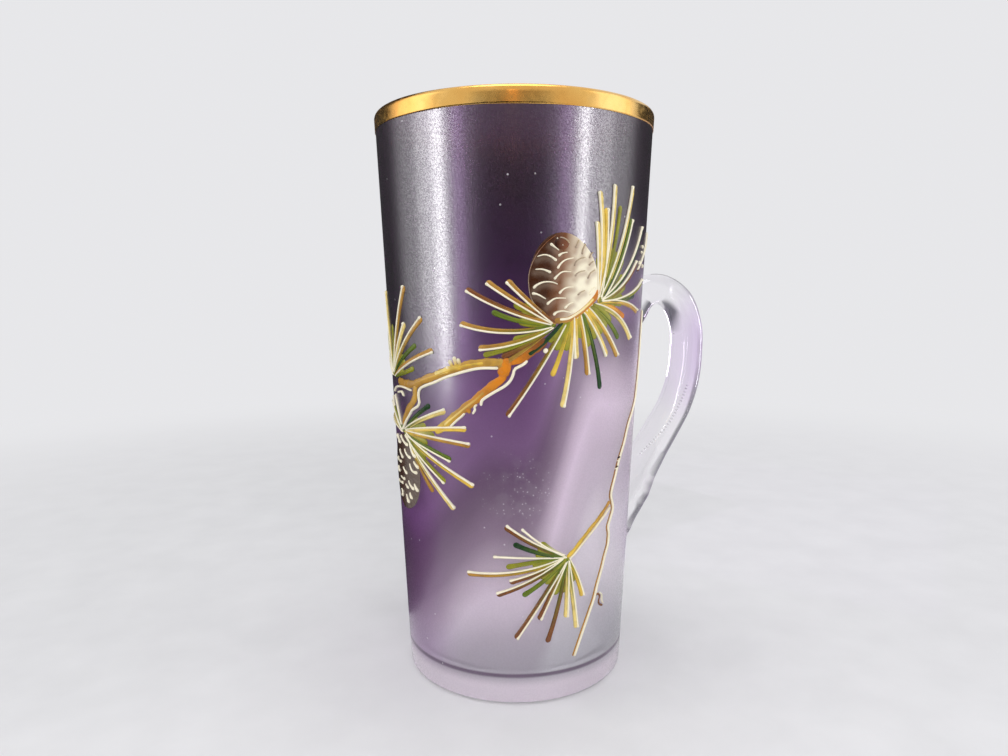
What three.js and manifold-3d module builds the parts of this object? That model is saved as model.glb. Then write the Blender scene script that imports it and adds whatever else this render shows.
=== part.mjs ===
// Spa drinking glass: a tall tapered beaker with a drawn handle, a gilt rim
// and a pine spray laid on in relief enamel.
// Millimetres, +Z up. The origin is the middle of the underside of the foot.
// The handle points to +X. Angles round the glass are degrees counted from it, seen from above.

import * as THREE from "three";
import { mergeVertices } from "three/addons/utils/BufferGeometryUtils.js";
import Module from "manifold-3d";

const wasm = await Module();
wasm.setup();

// Sizes of the blown body
const glassHeight = 140;
const rimRadius = 34.6;
const footRadius = 28;
const wallThickness = 2.3;
const baseThickness = 5.6;
const footBevel = 1.2;
const floorCornerRadius = 4.5;

// Sizes of the gilt band over the lip
const giltHeight = 4;
const giltInsideDrop = 1.2;
const giltThickness = 0.12;

// Sizes of the handle
const handleThickness = 8.2;
const handleWidth = 10.4;
const handleTopPlace = 0.685; // where the upper end is stuck on, as a share of the glass's height
const handleFootPlace = 0.335; // the same for the lower end
const fingerGap = 13.2; // from the wall to the handle, at the widest place
const padHeight = 15;
const padWidth = 14;
const padLength = 8; // how far from the wall the upper end starts to spread
const tailLength = 20; // from the lower end's middle down to the drawn point
const tailWidth = 13;

// Sizes of the enamel
const sprayMiddle = -105; // where the middle of the spray stands, in degrees from the handle
const needleWidth = 1.1;
const needleLength = 20; // a needle of share 1
const needleRelief = 0.38;
const boughWidth = 1.8;
const boughRelief = 0.45;
const twigWidth = 0.8;
const edgeWidth = 0.55;
const edgeRelief = 0.6;
const coneWidth = 15.4;
const coneLength = 19.2;
const sideConeWidth = 13.6;
const sideConeLength = 18;
const coneRelief = 0.4;
const scaleRelief = 0.3;

// The clearance between pieces that touch
const seatGap = 0.08;

// How finely round forms are divided
const wallSides = 72;
const lipSteps = 4;
const cornerSteps = 6;
const handleSides = 16;
const handleSteps = 30;
const tailSteps = 6;
const stepRound = 3.8; // the longest straight run round the wall
const stepAlong = 7; // the longest straight run up it
const padSides = 20;
const fewScales = 2; // in every other row of a cone; the rows between have one more

const colours = {
  violetGlass: { color: 0x4a2f66, roughness: 0.3, metalness: 0 },
  clearGlass: { color: 0xdcdde2, roughness: 0.06, metalness: 0 },
  gilt: { color: 0xd29a3a, roughness: 0.18, metalness: 1 },
  bark: { color: 0xb07a2c, roughness: 0.4, metalness: 0 },
  needles: { color: 0x8f9440, roughness: 0.4, metalness: 0 },
  cream: { color: 0xf6eed8, roughness: 0.35, metalness: 0 },
  cone: { color: 0x5a3426, roughness: 0.35, metalness: 0 },
};

const part = new THREE.Group();

function addPiece(name, geometry, finish) {
  const mesh = new THREE.Mesh(geometry, new THREE.MeshStandardMaterial(colours[finish]));
  mesh.name = name;
  part.add(mesh);
}

// A closed geometry as a solid, which can be joined to others and cut.
function solidOf(geometry) {
  geometry.deleteAttribute("normal");
  geometry.deleteAttribute("uv");
  const merged = mergeVertices(geometry, 1e-4);
  return new wasm.Manifold(
    new wasm.Mesh({
      numProp: 3,
      vertProperties: merged.attributes.position.array,
      triVerts: new Uint32Array(merged.index.array),
    }),
  );
}

// The solid back as a geometry.
function geometryOf(solid) {
  const mesh = solid.getMesh();
  const geometry = new THREE.BufferGeometry();
  geometry.setAttribute("position", new THREE.BufferAttribute(mesh.vertProperties, 3));
  geometry.setIndex(new THREE.BufferAttribute(mesh.triVerts, 1));
  geometry.computeVertexNormals();
  return geometry;
}

function joined(solids) {
  return solids.reduce((whole, next) => whole.add(next));
}

// A solid of revolution about the Z axis; the profile holds (radius, height) points.
function turned(profile, sides = wallSides) {
  const geometry = new THREE.LatheGeometry(profile, sides);
  geometry.rotateX(Math.PI / 2);
  return geometry;
}

// Moves every point of a geometry through a function.
function reshaped(geometry, place) {
  const position = geometry.attributes.position;
  const point = new THREE.Vector3();
  for (let i = 0; i < position.count; i++) {
    point.fromBufferAttribute(position, i);
    const moved = place(point);
    position.setXYZ(i, moved.x, moved.y, moved.z);
  }
  return geometry;
}

// The wall is a straight cone.
const wallSlope = Math.atan2(rimRadius - footRadius, glassHeight);
const wallDown = new THREE.Vector2(-Math.sin(wallSlope), -Math.cos(wallSlope));

function outerRadius(height) {
  return footRadius + ((rimRadius - footRadius) * height) / glassHeight;
}

function innerRadius(height) {
  return outerRadius(height) - wallThickness / Math.cos(wallSlope);
}

// Points on a round in the profile plane, from one angle to another.
function arc(centre, radius, from, to, steps) {
  return Array.from({ length: steps + 1 }, (_, i) => {
    const angle = THREE.MathUtils.lerp(from, to, i / steps);
    return new THREE.Vector2(
      centre.x + radius * Math.cos(angle),
      centre.y + radius * Math.sin(angle),
    );
  });
}

// The melted lip is a half round on the middle line of the wall.
const lipRadius = wallThickness / 2;
const lipCentre = new THREE.Vector2(
  outerRadius(glassHeight - lipRadius) - lipRadius / Math.cos(wallSlope),
  glassHeight - lipRadius,
);

// The outline over the lip, from a drop outside to a drop inside, a little off the glass.
function lipOutline(lift, outsideDrop, insideDrop) {
  const over = arc(lipCentre, lipRadius + lift, -wallSlope, Math.PI - wallSlope, lipSteps);
  const outside = over[0].clone().addScaledVector(wallDown, outsideDrop);
  const inside = over[lipSteps].clone().addScaledVector(wallDown, insideDrop);
  return [outside, ...over, inside];
}

// Blown body: thick base, ground flat underneath, rounded inner corner and melted lip.
function bodyProfile() {
  const cornerHeight = baseThickness + floorCornerRadius;
  const cornerCentre = new THREE.Vector2(
    innerRadius(cornerHeight) - floorCornerRadius / Math.cos(wallSlope),
    cornerHeight,
  );
  const corner = arc(cornerCentre, floorCornerRadius, -wallSlope, -Math.PI / 2, cornerSteps);
  const lip = lipOutline(0, 0, 0).slice(1, -1);
  return [
    new THREE.Vector2(0, 0),
    new THREE.Vector2(footRadius - footBevel, 0),
    new THREE.Vector2(outerRadius(footBevel), footBevel),
    ...lip,
    ...corner,
    new THREE.Vector2(0, baseThickness),
  ];
}

addPiece("glass_body", turned(bodyProfile()), "violetGlass");

// Gilt band: a thin sleeve over the lip.
function giltProfile() {
  const outsideDrop = giltHeight - lipRadius;
  const under = lipOutline(seatGap, outsideDrop, giltInsideDrop);
  const over = lipOutline(seatGap + giltThickness, outsideDrop, giltInsideDrop);
  return [...over, ...under.reverse(), over[0]];
}

addPiece("gilt_rim", turned(giltProfile()), "gilt");

// The full cone of the glass with the seat gap on it, to cut what is stuck to the wall.
function wallCutter() {
  const below = -glassHeight / 10;
  const above = glassHeight * 1.1;
  return solidOf(
    turned([
      new THREE.Vector2(0, below),
      new THREE.Vector2(outerRadius(below) + seatGap, below),
      new THREE.Vector2(outerRadius(above) + seatGap, above),
      new THREE.Vector2(0, above),
    ]),
  );
}

// Handle: a rod of oval section, bent over the finger gap. Its upper end spreads into a pad on the
// wall, and its lower end is pressed on and drawn out to a tail.
const topHeight = handleTopPlace * glassHeight;
const footHeight = handleFootPlace * glassHeight;
const handleRise = topHeight - footHeight;

// A place beside the wall in the handle's own plane: share of the rise, and distance off the wall.
function besideWall(share, off) {
  const height = footHeight + handleRise * share;
  return new THREE.Vector3(outerRadius(height) + off, 0, height);
}

const rodMiddle = fingerGap + handleThickness / 2;
const handleCurve = new THREE.CatmullRomCurve3([
  besideWall(0.955, -wallThickness / 2),
  besideWall(1.02, rodMiddle * 0.22),
  besideWall(1.03, rodMiddle * 0.5),
  besideWall(0.96, rodMiddle * 0.8),
  besideWall(0.82, rodMiddle * 0.97),
  besideWall(0.67, rodMiddle),
  besideWall(0.53, rodMiddle * 0.97),
  besideWall(0.39, rodMiddle * 0.86),
  besideWall(0.26, rodMiddle * 0.67),
  besideWall(0.13, rodMiddle * 0.46),
  besideWall(0.01, rodMiddle * 0.25),
  besideWall(-0.12, -wallThickness / 2),
]);
const padShare = padLength / handleCurve.getLength();

// How far the upper end has spread at a share of the rod's length: 1 at the wall, 0 on the rod.
function spread(share) {
  return Math.max(0, 1 - share / padShare) ** 2;
}

function rodHalfHeight(share) {
  return THREE.MathUtils.lerp(handleThickness, padHeight, spread(share)) / 2;
}

function rodHalfWidth(share) {
  return THREE.MathUtils.lerp(handleWidth, padWidth, spread(share)) / 2;
}

// The tail: the soft lower end of the rod, pressed on the wall and drawn down to a point.
const tailCurve = new THREE.LineCurve3(
  besideWall(0.06, 0),
  besideWall(-tailLength / handleRise, 0),
);

function tailHalfHeight(share) {
  return handleThickness * (1 - 0.99 * share) ** 0.65;
}

function tailHalfWidth(share) {
  return (tailWidth / 2) * Math.sqrt(1 - 0.95 * share ** 3);
}

// A round bar that follows a curve in the XZ plane, with a half height and a half width along it.
function bentBar(curve, halfHeight, halfWidth, steps) {
  const bar = new THREE.CylinderGeometry(1, 1, 1, handleSides, steps);
  return reshaped(bar, (point) => {
    const share = 0.5 - point.y;
    const centre = curve.getPointAt(share);
    const along = curve.getTangentAt(share);
    const up = new THREE.Vector3(along.z, 0, -along.x);
    centre.addScaledVector(up, point.x * halfHeight(share));
    centre.y += point.z * halfWidth(share);
    return centre;
  });
}

const rod = solidOf(bentBar(handleCurve, rodHalfHeight, rodHalfWidth, handleSteps));
const tail = solidOf(bentBar(tailCurve, tailHalfHeight, tailHalfWidth, tailSteps));
const handle = rod.add(tail).subtract(wallCutter());
addPiece("handle", geometryOf(handle), "clearGlass");

// Enamel is laid on the unrolled wall. A place there is degrees round from the middle of the spray
// and a share of the height, so the spray stays on the wall when the glass grows. From a place,
// x runs round the wall and y up it, both in millimetres.
class Place {
  constructor(degrees, share) {
    this.angle = THREE.MathUtils.degToRad(sprayMiddle + degrees);
    this.height = share * glassHeight;
  }

  // The point that lies x round the wall, y up it and a lift off it.
  point(x, y, lift) {
    const height = this.height + y;
    const angle = this.angle + x / outerRadius(height);
    const radius = outerRadius(height) + lift;
    return new THREE.Vector3(radius * Math.cos(angle), radius * Math.sin(angle), height);
  }

  // Where another place lies from this one.
  towards(other) {
    const round = (other.angle - this.angle) * outerRadius(other.height);
    return new THREE.Vector2(round, other.height - this.height);
  }
}

// A stroke of enamel along a flat curve drawn from a place, with a width along it.
// Its section is a low bar with a narrower crown.
function stroke(place, curve, widthAt, relief) {
  const crown = 0.55;
  const run = Math.abs(curve.getPointAt(1).x - curve.getPointAt(0).x);
  const steps = Math.max(2, Math.ceil(run / stepRound), Math.ceil(curve.getLength() / stepAlong));
  const bar = new THREE.BoxGeometry(1, 1, 1, 1, steps, 1);
  return solidOf(
    reshaped(bar, (corner) => {
      const share = corner.y + 0.5;
      const centre = curve.getPointAt(share);
      const along = curve.getTangentAt(share);
      const top = corner.z > 0;
      const across = corner.x * widthAt(share) * (top ? crown : 1);
      return place.point(
        centre.x + across * along.y,
        centre.y - across * along.x,
        top ? seatGap + relief : seatGap,
      );
    }),
  );
}

// Needle: it leaves its root in a direction, bows to its left by so much, and ends blunt. Its
// length and its bow are shares of a common needle's length.
function needle(place, root, [direction, lengthShare, bowShare]) {
  const angle = THREE.MathUtils.degToRad(direction);
  const along = new THREE.Vector2(Math.cos(angle), Math.sin(angle));
  const left = new THREE.Vector2(-along.y, along.x);
  const length = lengthShare * needleLength;
  const bow = bowShare * needleLength;
  const curve = new THREE.QuadraticBezierCurve(
    root,
    root.clone().addScaledVector(along, length / 2).addScaledVector(left, 2 * bow),
    root.clone().addScaledVector(along, length),
  );
  return stroke(place, curve, (share) => needleWidth * (0.7 + 0.3 * share), needleRelief);
}

// Tuft: needles that grow from one root, or from roots spread evenly along a short stem.
function tuft(place, stem, needles) {
  const stemCurve = new THREE.LineCurve(
    new THREE.Vector2(-needleWidth / 2, 0),
    new THREE.Vector2(stem.x + needleWidth / 2, stem.y),
  );
  const grown = needles.map((shape, i) =>
    needle(place, stem.clone().multiplyScalar(i / (needles.length - 1)), shape),
  );
  return joined([stroke(place, stemCurve, () => 1.6 * needleWidth, needleRelief), ...grown]);
}

// The tuft below the cone grows from a stem that starts here. The others grow from one root.
const belowCone = new Place(32, 0.652);

// Each needle is its direction in degrees and the shares of its length and its bow.
const tufts = {
  needles_above_cone: {
    at: new Place(35.5, 0.675),
    stem: new THREE.Vector2(),
    needles: [
      [94, 0.9, -0.015],
      [92, 1.225, -0.05],
      [87, 1.05, -0.04],
      [82, 1.325, -0.05],
      [75, 1.125, -0.05],
      [68, 1.425, -0.07],
      [61, 1.1, -0.06],
      [45, 1.25, -0.09],
      [33, 0.875, -0.06],
      [14, 1.05, -0.06],
      [7, 0.725, -0.03],
      [-8, 0.85, 0.055],
      [-20, 0.5, 0.03],
    ],
  },
  needles_below_cone: {
    at: belowCone,
    stem: belowCone.towards(new Place(21.1, 0.632)),
    needles: [
      [-28, 0.8, 0.075],
      [-33, 0.525, 0.04],
      [-44, 0.7, 0.025],
      [-47, 0.525, 0.02],
      [-69, 0.775, 0.04],
      [-74, 0.525, 0.015],
      [-80, 0.325, 0],
      [-91, 0.825, 0.03],
      [-104, 0.475, 0.02],
      [-120, 1.1, 0.02],
      [-138, 0.5, 0.025],
    ],
  },
  needles_left_of_cone: {
    at: new Place(15.5, 0.641),
    stem: new THREE.Vector2(),
    needles: [
      [139, 0.725, 0.015],
      [149, 0.9, 0.015],
      [159, 1.075, 0.045],
      [169, 0.725, 0.045],
      [179.5, 1.075, 0.08],
      [-163, 0.875, 0.055],
      [-157, 0.85, 0.045],
    ],
  },
  needles_upper_left: {
    at: new Place(-68.5, 0.547),
    stem: new THREE.Vector2(),
    needles: [
      [152, 0.8, -0.025],
      [130, 0.95, -0.025],
      [108, 1.1, -0.015],
      [66, 1.2, 0.025],
      [56, 0.8, 0.015],
      [43, 1.075, 0.025],
      [33, 0.775, 0.02],
      [22, 1, 0.02],
      [14, 0.6, -0.015],
    ],
  },
  needles_lower_left: {
    at: new Place(-59.5, 0.453),
    stem: new THREE.Vector2(),
    needles: [
      [34, 0.7, 0.02],
      [23, 0.875, 0.02],
      [8, 1.075, 0.025],
      [-2, 1.1, 0.02],
      [-15, 0.875, 0.015],
      [-25, 1.225, 0.015],
      [-34, 0.9, 0.01],
      [-44, 1.175, 0.01],
      [-50, 0.85, 0],
      [172, 0.75, -0.02],
      [150, 0.65, -0.02],
    ],
  },
  needles_bottom: {
    at: new Place(24, 0.256),
    stem: new THREE.Vector2(),
    needles: [
      [145, 0.675, 0.025],
      [151, 0.85, 0.03],
      [162, 0.675, 0.025],
      [177, 0.875, -0.01],
      [-174, 0.725, -0.02],
      [-171, 1.2, 0.05],
      [-159, 0.725, 0.02],
      [-153, 0.925, 0.03],
      [-141, 0.675, 0.025],
      [-122, 1.125, 0],
      [-114, 0.8, 0],
      [-102, 1.05, 0.03],
      [-89, 0.75, 0.005],
      [-80, 0.925, 0.005],
      [-66, 0.575, 0.02],
    ],
  },
};

for (const [name, { at, stem, needles }] of Object.entries(tufts)) {
  addPiece(name, geometryOf(tuft(at, stem, needles)), "needles");
}

// A flat curve through places, drawn from the first of them.
function through(places) {
  const curve = new THREE.SplineCurve(places.map((place) => places[0].towards(place)));
  curve.arcLengthDivisions = 100;
  return curve;
}

function branch(places, widthAt, relief) {
  return stroke(places[0], through(places), widthAt, relief);
}

// Bough: it runs from the cone to the left tuft, with a knot where the lower bough leaves it.
const boughRoute = [
  new Place(13, 0.622),
  new Place(7, 0.601),
  new Place(1, 0.59),
  new Place(-6, 0.583),
  new Place(-15, 0.582),
  new Place(-24, 0.579),
  new Place(-32, 0.566),
  new Place(-40, 0.556),
  new Place(-47, 0.546),
  new Place(-55, 0.543),
  new Place(-63.5, 0.541),
];
const lowerBoughRoute = [
  new Place(-2, 0.587),
  new Place(-4, 0.566),
  new Place(-8.5, 0.55),
  new Place(-13.5, 0.535),
  new Place(-19, 0.519),
  new Place(-26, 0.498),
];
const sideTwigRoute = [
  new Place(-47, 0.546),
  new Place(-48, 0.527),
  new Place(-48.5, 0.513),
  new Place(-53, 0.496),
];

const knotSwell = 0.9;

function knotWidth(share) {
  return boughWidth * (1 + knotSwell * Math.exp(-(((share - 0.22) / 0.07) ** 2)));
}

const bough = joined([
  branch(boughRoute, knotWidth, boughRelief),
  branch(lowerBoughRoute, () => boughWidth, boughRelief),
  branch(sideTwigRoute, () => boughWidth * 0.85, boughRelief),
]);
addPiece("pine_bough", geometryOf(bough), "bark");

// The cream line along the lower side of a bough stands just clear of it.
function edgeLine(route, width, from, to, side) {
  const whole = through(route);
  const away = side * (width / 2 + edgeWidth / 2 + seatGap);
  const steps = 12;
  const points = Array.from({ length: steps + 1 }, (_, i) => {
    const share = THREE.MathUtils.lerp(from, to, i / steps);
    const along = whole.getTangentAt(share);
    const point = whole.getPointAt(share);
    return point.add(new THREE.Vector2(-along.y, along.x).multiplyScalar(away));
  });
  return stroke(route[0], new THREE.SplineCurve(points), () => edgeWidth, edgeRelief);
}

const upperEdge = edgeLine(boughRoute, boughWidth, 0.36, 0.7, 1);
addPiece("bough_edge_upper", geometryOf(upperEdge), "cream");
const lowerEdge = edgeLine(lowerBoughRoute, boughWidth, 0.22, 0.97, 1);
addPiece("bough_edge_lower", geometryOf(lowerEdge), "cream");

// Hanging twig: it comes round from the handle's side and forks above the foot.
const hangingRoute = [
  new Place(81, 0.66),
  new Place(79, 0.58),
  new Place(74, 0.514),
  new Place(66, 0.461),
  new Place(57, 0.4),
  new Place(50.5, 0.345),
  new Place(48.5, 0.286),
  new Place(43.5, 0.19),
  new Place(29.5, 0.073),
];
const forkRoute = [
  new Place(50.5, 0.345),
  new Place(39, 0.302),
  new Place(26.5, 0.264),
];
const budRoute = [
  new Place(44, 0.194),
  new Place(45, 0.177),
  new Place(47.5, 0.152),
];
const hangingTwig = joined([
  branch(hangingRoute, () => twigWidth, boughRelief),
  branch(forkRoute, () => twigWidth * 1.1, boughRelief),
  branch(budRoute, () => twigWidth, boughRelief),
]);
addPiece("hanging_twig", geometryOf(hangingTwig), "bark");

// Bud twig: it leaves past the tuft above the cone, towards the handle.
const budTwigRoute = [
  new Place(63, 0.728),
  new Place(69, 0.747),
  new Place(75, 0.768),
  new Place(81, 0.795),
];
addPiece("bud_twig", geometryOf(branch(budTwigRoute, () => twigWidth, boughRelief)), "bark");

// Cone: an egg-shaped pad with rows of raised scales. It leans to its left by so many degrees.
function pineCone(place, width, length, lean, rows) {
  const tilt = THREE.MathUtils.degToRad(lean);
  const lay = (x, y) =>
    new THREE.Vector2(
      x * Math.cos(tilt) - y * Math.sin(tilt),
      x * Math.sin(tilt) + y * Math.cos(tilt),
    );
  // Seen from the front an egg: the round is narrower towards the top.
  const egg = (x, y) => lay((x * width * (1 - 0.12 * y)) / 2, (y * length) / 2);
  const disc = turned(
    [
      new THREE.Vector2(0, 0),
      new THREE.Vector2(0.35, 0),
      new THREE.Vector2(0.7, 0),
      new THREE.Vector2(1, 0),
      new THREE.Vector2(0.95, 0.6),
      new THREE.Vector2(0.7, 0.9),
      new THREE.Vector2(0.35, 1),
      new THREE.Vector2(0, 1),
    ],
    padSides,
  );
  const pad = reshaped(disc, (point) => {
    const flat = egg(point.x, point.y);
    return place.point(flat.x, flat.y, seatGap + coneRelief * point.z);
  });
  return joined([solidOf(pad), ...coneScales(place, egg, rows)]);
}

// The scales are short arcs in rows, set between those of the row below.
function coneScales(place, egg, rows) {
  const scales = [];
  for (let row = 0; row < rows; row++) {
    const y = THREE.MathUtils.lerp(-0.72, 0.72, row / (rows - 1));
    const reach = Math.sqrt(1 - y * y) * 0.86;
    const count = fewScales + (row % 2);
    const half = reach / count;
    for (let i = 0; i < count; i++) {
      const x = half * (2 * i + 1) - reach;
      const curve = new THREE.QuadraticBezierCurve(
        egg(x - half * 0.75, y - 0.06),
        egg(x - half * 0.1, y + 0.16),
        egg(x + half * 0.8, y + 0.02),
      );
      scales.push(stroke(place, curve, () => edgeWidth, coneRelief + scaleRelief));
    }
  }
  return scales;
}

const frontCone = pineCone(new Place(19.5, 0.715), coneWidth, coneLength, 12, 6);
addPiece("cone_front", geometryOf(frontCone), "cone");
const sideCone = pineCone(new Place(-65, 0.38), sideConeWidth, sideConeLength, -14, 5);
addPiece("cone_side", geometryOf(sideCone), "cone");

export default part;
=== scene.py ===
# %% [markdown]
# # A spa drinking glass
# The glass is blown, stained violet, etched to a satin skin and painted with a pine spray in
# relief enamel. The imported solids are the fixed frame, and every surface lies where they lie.

import math
from functools import partial

import bpy
import numpy as np
from mathutils import Matrix, Quaternion, Vector


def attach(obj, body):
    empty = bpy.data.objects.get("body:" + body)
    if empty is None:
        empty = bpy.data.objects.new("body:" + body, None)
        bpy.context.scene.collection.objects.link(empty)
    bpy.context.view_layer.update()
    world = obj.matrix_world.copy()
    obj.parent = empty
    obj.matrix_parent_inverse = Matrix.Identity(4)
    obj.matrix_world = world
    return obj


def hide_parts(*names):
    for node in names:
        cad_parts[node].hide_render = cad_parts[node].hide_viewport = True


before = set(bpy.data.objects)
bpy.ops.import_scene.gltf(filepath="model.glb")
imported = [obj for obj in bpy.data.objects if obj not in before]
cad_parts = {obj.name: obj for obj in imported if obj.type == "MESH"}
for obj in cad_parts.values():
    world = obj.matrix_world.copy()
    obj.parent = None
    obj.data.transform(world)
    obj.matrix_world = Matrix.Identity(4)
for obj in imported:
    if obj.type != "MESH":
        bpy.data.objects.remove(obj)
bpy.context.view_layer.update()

# %% [markdown]
# The wall of the glass is a straight cone. All that is stuck or painted on it is laid out on the
# unrolled cone and carried back, so these few sizes are the ground of every piece.

# %% Sizes of the body
MM = 0.001
GLASS_HEIGHT = 140 * MM
RIM_RADIUS = 34.6 * MM
FOOT_RADIUS = 28 * MM
WALL_THICKNESS = 2.3 * MM
BASE_THICKNESS = 5.6 * MM
FOOT_BEVEL = 1.2 * MM
FLOOR_CORNER = 4.5 * MM
WALL_SLOPE = math.atan2(RIM_RADIUS - FOOT_RADIUS, GLASS_HEIGHT)


def outer_radius(height):
    """The wall's radius grows evenly from the foot to the rim."""
    return FOOT_RADIUS + (RIM_RADIUS - FOOT_RADIUS) * height / GLASS_HEIGHT


def inner_radius(height):
    """The outer radius less the wall, measured level."""
    return outer_radius(height) - WALL_THICKNESS / math.cos(WALL_SLOPE)


print("radius at half height", round(outer_radius(GLASS_HEIGHT / 2), 5))

# %% [markdown]
# The camera stands close to the glass, a little below the rim, and looks slightly down, as the
# lines of the rim and the foot in the photograph show. It is placed by its distance, its height
# and three small angles, which turn into the three axes of the camera.

# %% The camera
CAMERA_BEARING = math.radians(-105)
CAMERA_DISTANCE = 196.9 * MM
CAMERA_HEIGHT = 98.1 * MM
CAMERA_PITCH = 0.1190
CAMERA_YAW = 0.0138
CAMERA_ROLL = 0.0037
CAMERA_LENS = 27.04
SENSOR_WIDTH = 36
NEAREST_SEEN = 0.005


def linked(name, data):
    """An object of the given data in the scene."""
    made = bpy.data.objects.new(name, data)
    bpy.context.scene.collection.objects.link(made)
    return made


toward_camera = Vector((math.cos(CAMERA_BEARING), math.sin(CAMERA_BEARING), 0))
picture_right = Vector((-math.sin(CAMERA_BEARING), math.cos(CAMERA_BEARING), 0))
UP = Vector((0, 0, 1))

look = (
    -math.sin(CAMERA_YAW) * math.cos(CAMERA_PITCH) * picture_right
    - math.cos(CAMERA_YAW) * math.cos(CAMERA_PITCH) * toward_camera
    - math.sin(CAMERA_PITCH) * UP
)
side = math.cos(CAMERA_YAW) * picture_right - math.sin(CAMERA_YAW) * toward_camera
above = side.cross(look)
camera_x = math.cos(CAMERA_ROLL) * side - math.sin(CAMERA_ROLL) * above
camera_y = math.sin(CAMERA_ROLL) * side + math.cos(CAMERA_ROLL) * above

camera_data = bpy.data.cameras.new("camera")
camera_data.sensor_width = SENSOR_WIDTH
camera_data.lens = CAMERA_LENS
camera_data.clip_start = NEAREST_SEEN
camera = linked("camera", camera_data)
axes = Matrix((camera_x, camera_y, -look)).transposed().to_4x4()
axes.translation = CAMERA_DISTANCE * toward_camera + CAMERA_HEIGHT * UP
camera.matrix_world = axes
bpy.context.scene.camera = camera
print("camera at", tuple(round(c, 4) for c in axes.translation))

# %% [markdown]
# Every piece is a ring of points carried along a path. One helper turns such a grid into a closed
# skin: it joins each ring to the next and closes both ends with a fan to the middle of the ring.
# Several skins may share one mesh, each with its own material and its own colour at each point.

# %% From rings to a mesh


def ring_faces(steps, ring, first):
    """Quads between neighbouring rings, and at both ends triangles to a middle point.

    Point (i, j) has the number first + i * ring + j. The two middle points come last."""
    i, j = np.meshgrid(np.arange(steps - 1), np.arange(ring), indexing="ij")
    after = (j + 1) % ring
    here = first + i * ring
    quads = np.stack([here + j, here + after, here + ring + after, here + ring + j], -1)
    around = np.arange(ring)
    beyond = (around + 1) % ring
    middle = np.full(ring, first + steps * ring)
    last = first + (steps - 1) * ring
    low = np.stack([middle, first + beyond, first + around], -1)
    high = np.stack([middle + 1, last + around, last + beyond], -1)
    return quads.reshape(-1, 4).tolist() + low.tolist() + high.tolist()


def with_middles(grid):
    """All values of a grid, and after them the means of its first and its last ring."""
    return np.concatenate([grid.reshape(-1, 3), [grid[0].mean(0), grid[-1].mean(0)]])


def mesh_object(name, points, faces, materials):
    """A smooth mesh of points and faces, as an object in the scene."""
    mesh = bpy.data.meshes.new(name)
    mesh.from_pydata(points.tolist(), [], faces)
    mesh.polygons.foreach_set("use_smooth", np.full(len(faces), True))
    for material in materials:
        mesh.materials.append(material)
    mesh.update()
    return linked(name, mesh)


def skin_mesh(name, skins, materials):
    """One mesh of closed skins. A skin is (points, material number, colours or None)."""
    points, faces, numbers, colours = [], [], [], []
    for grid, number, colour in skins:
        made = ring_faces(*grid.shape[:2], sum(map(len, points)))
        points.append(with_middles(grid))
        faces += made
        numbers += [number] * len(made)
        if colour is not None:
            colours.append(with_middles(colour))
    piece = mesh_object(name, np.concatenate(points), faces, materials)
    piece.data.polygons.foreach_set("material_index", np.array(numbers, np.int32))
    if colours:
        rgb = np.concatenate(colours)
        paint = piece.data.color_attributes.new("paint", "FLOAT_COLOR", "POINT")
        paint.data.foreach_set("color", np.column_stack([rgb, np.ones(len(rgb))]).ravel())
    return piece


def on_the_glass(piece, slot, *nodes):
    """The piece rides on the one body of the glass and stands for its solids."""
    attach(piece, "root")
    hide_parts(*nodes)
    print(piece.name, len(piece.data.vertices), "points")


# %% [markdown]
# Materials are small trees of nodes. A few helpers keep them readable: they add a node beside a
# socket, feed numbers or other sockets into it and give back its result.

# %% Helpers for materials


def feed(socket, value):
    """Links an output into the socket, or sets the socket's own value."""
    if isinstance(value, bpy.types.NodeSocket):
        socket.id_data.links.new(value, socket)
    else:
        socket.default_value = value


def feed_all(node, **inputs):
    """Feeds a node's inputs, which are named with _ for a space."""
    for name, value in inputs.items():
        feed(node.inputs[name.replace("_", " ")], value)


def add_node(near, kind, *values, settings=None, **inputs):
    """A new node in the tree of a socket, with its first inputs, settings and named inputs.

    The kind is Blender's name of the node without ShaderNode."""
    node = near.id_data.nodes.new("ShaderNode" + kind)
    for name, value in (settings or {}).items():
        setattr(node, name, value)
    for socket, value in zip(node.inputs, values):
        feed(socket, value)
    feed_all(node, **inputs)
    return node


def math_node(operation, first, second=0.0):
    """The result of one sum. The first value is a socket, the second may be a number."""
    return add_node(first, "Math", first, second, settings={"operation": operation}).outputs[0]


# Short names for the sums used most.
plus, minus, times, larger = (
    partial(math_node, kind) for kind in ("ADD", "SUBTRACT", "MULTIPLY", "MAXIMUM")
)


def map_range(value, low, high, to_low=0.0, to_high=1.0):
    """Carries a value smoothly from one range to another."""
    smooth = {"interpolation_type": "SMOOTHSTEP"}
    node = add_node(value, "MapRange", value, low, high, to_low, to_high, settings=smooth)
    return node.outputs[0]


def mix_colours(share, first, second, blend="MIX"):
    """The first colour where the share is 0, the second where it is 1."""
    node = add_node(share, "Mix", share, settings={"data_type": "RGBA", "blend_type": blend})
    feed(node.inputs[6], first)
    feed(node.inputs[7], second)
    return node.outputs[2]


def multiplied(share, first, second):
    """The first colour times the second, in full where the share is 1."""
    return mix_colours(share, first, second, "MULTIPLY")


def ramp(value, stops):
    """Colours at places from 0 to 1, blended between."""
    node = add_node(value, "ValToRGB", value)
    elements = node.color_ramp.elements
    while len(elements) < len(stops):
        elements.new(0.5)
    for element, (place, colour) in zip(elements, stops):
        element.position = place
        element.color = (*colour, 1)
    return node.outputs[0]


def new_material(name):
    """A material, its Principled shader and the point's own place on the piece."""
    material = bpy.data.materials.new(name)
    material.use_nodes = True
    nodes = material.node_tree.nodes
    place = nodes.new("ShaderNodeTexCoord").outputs["Object"]
    return material, nodes["Principled BSDF"], place


def parts_of(vector):
    """The three numbers of a vector."""
    return add_node(vector, "SeparateXYZ", vector).outputs


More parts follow.
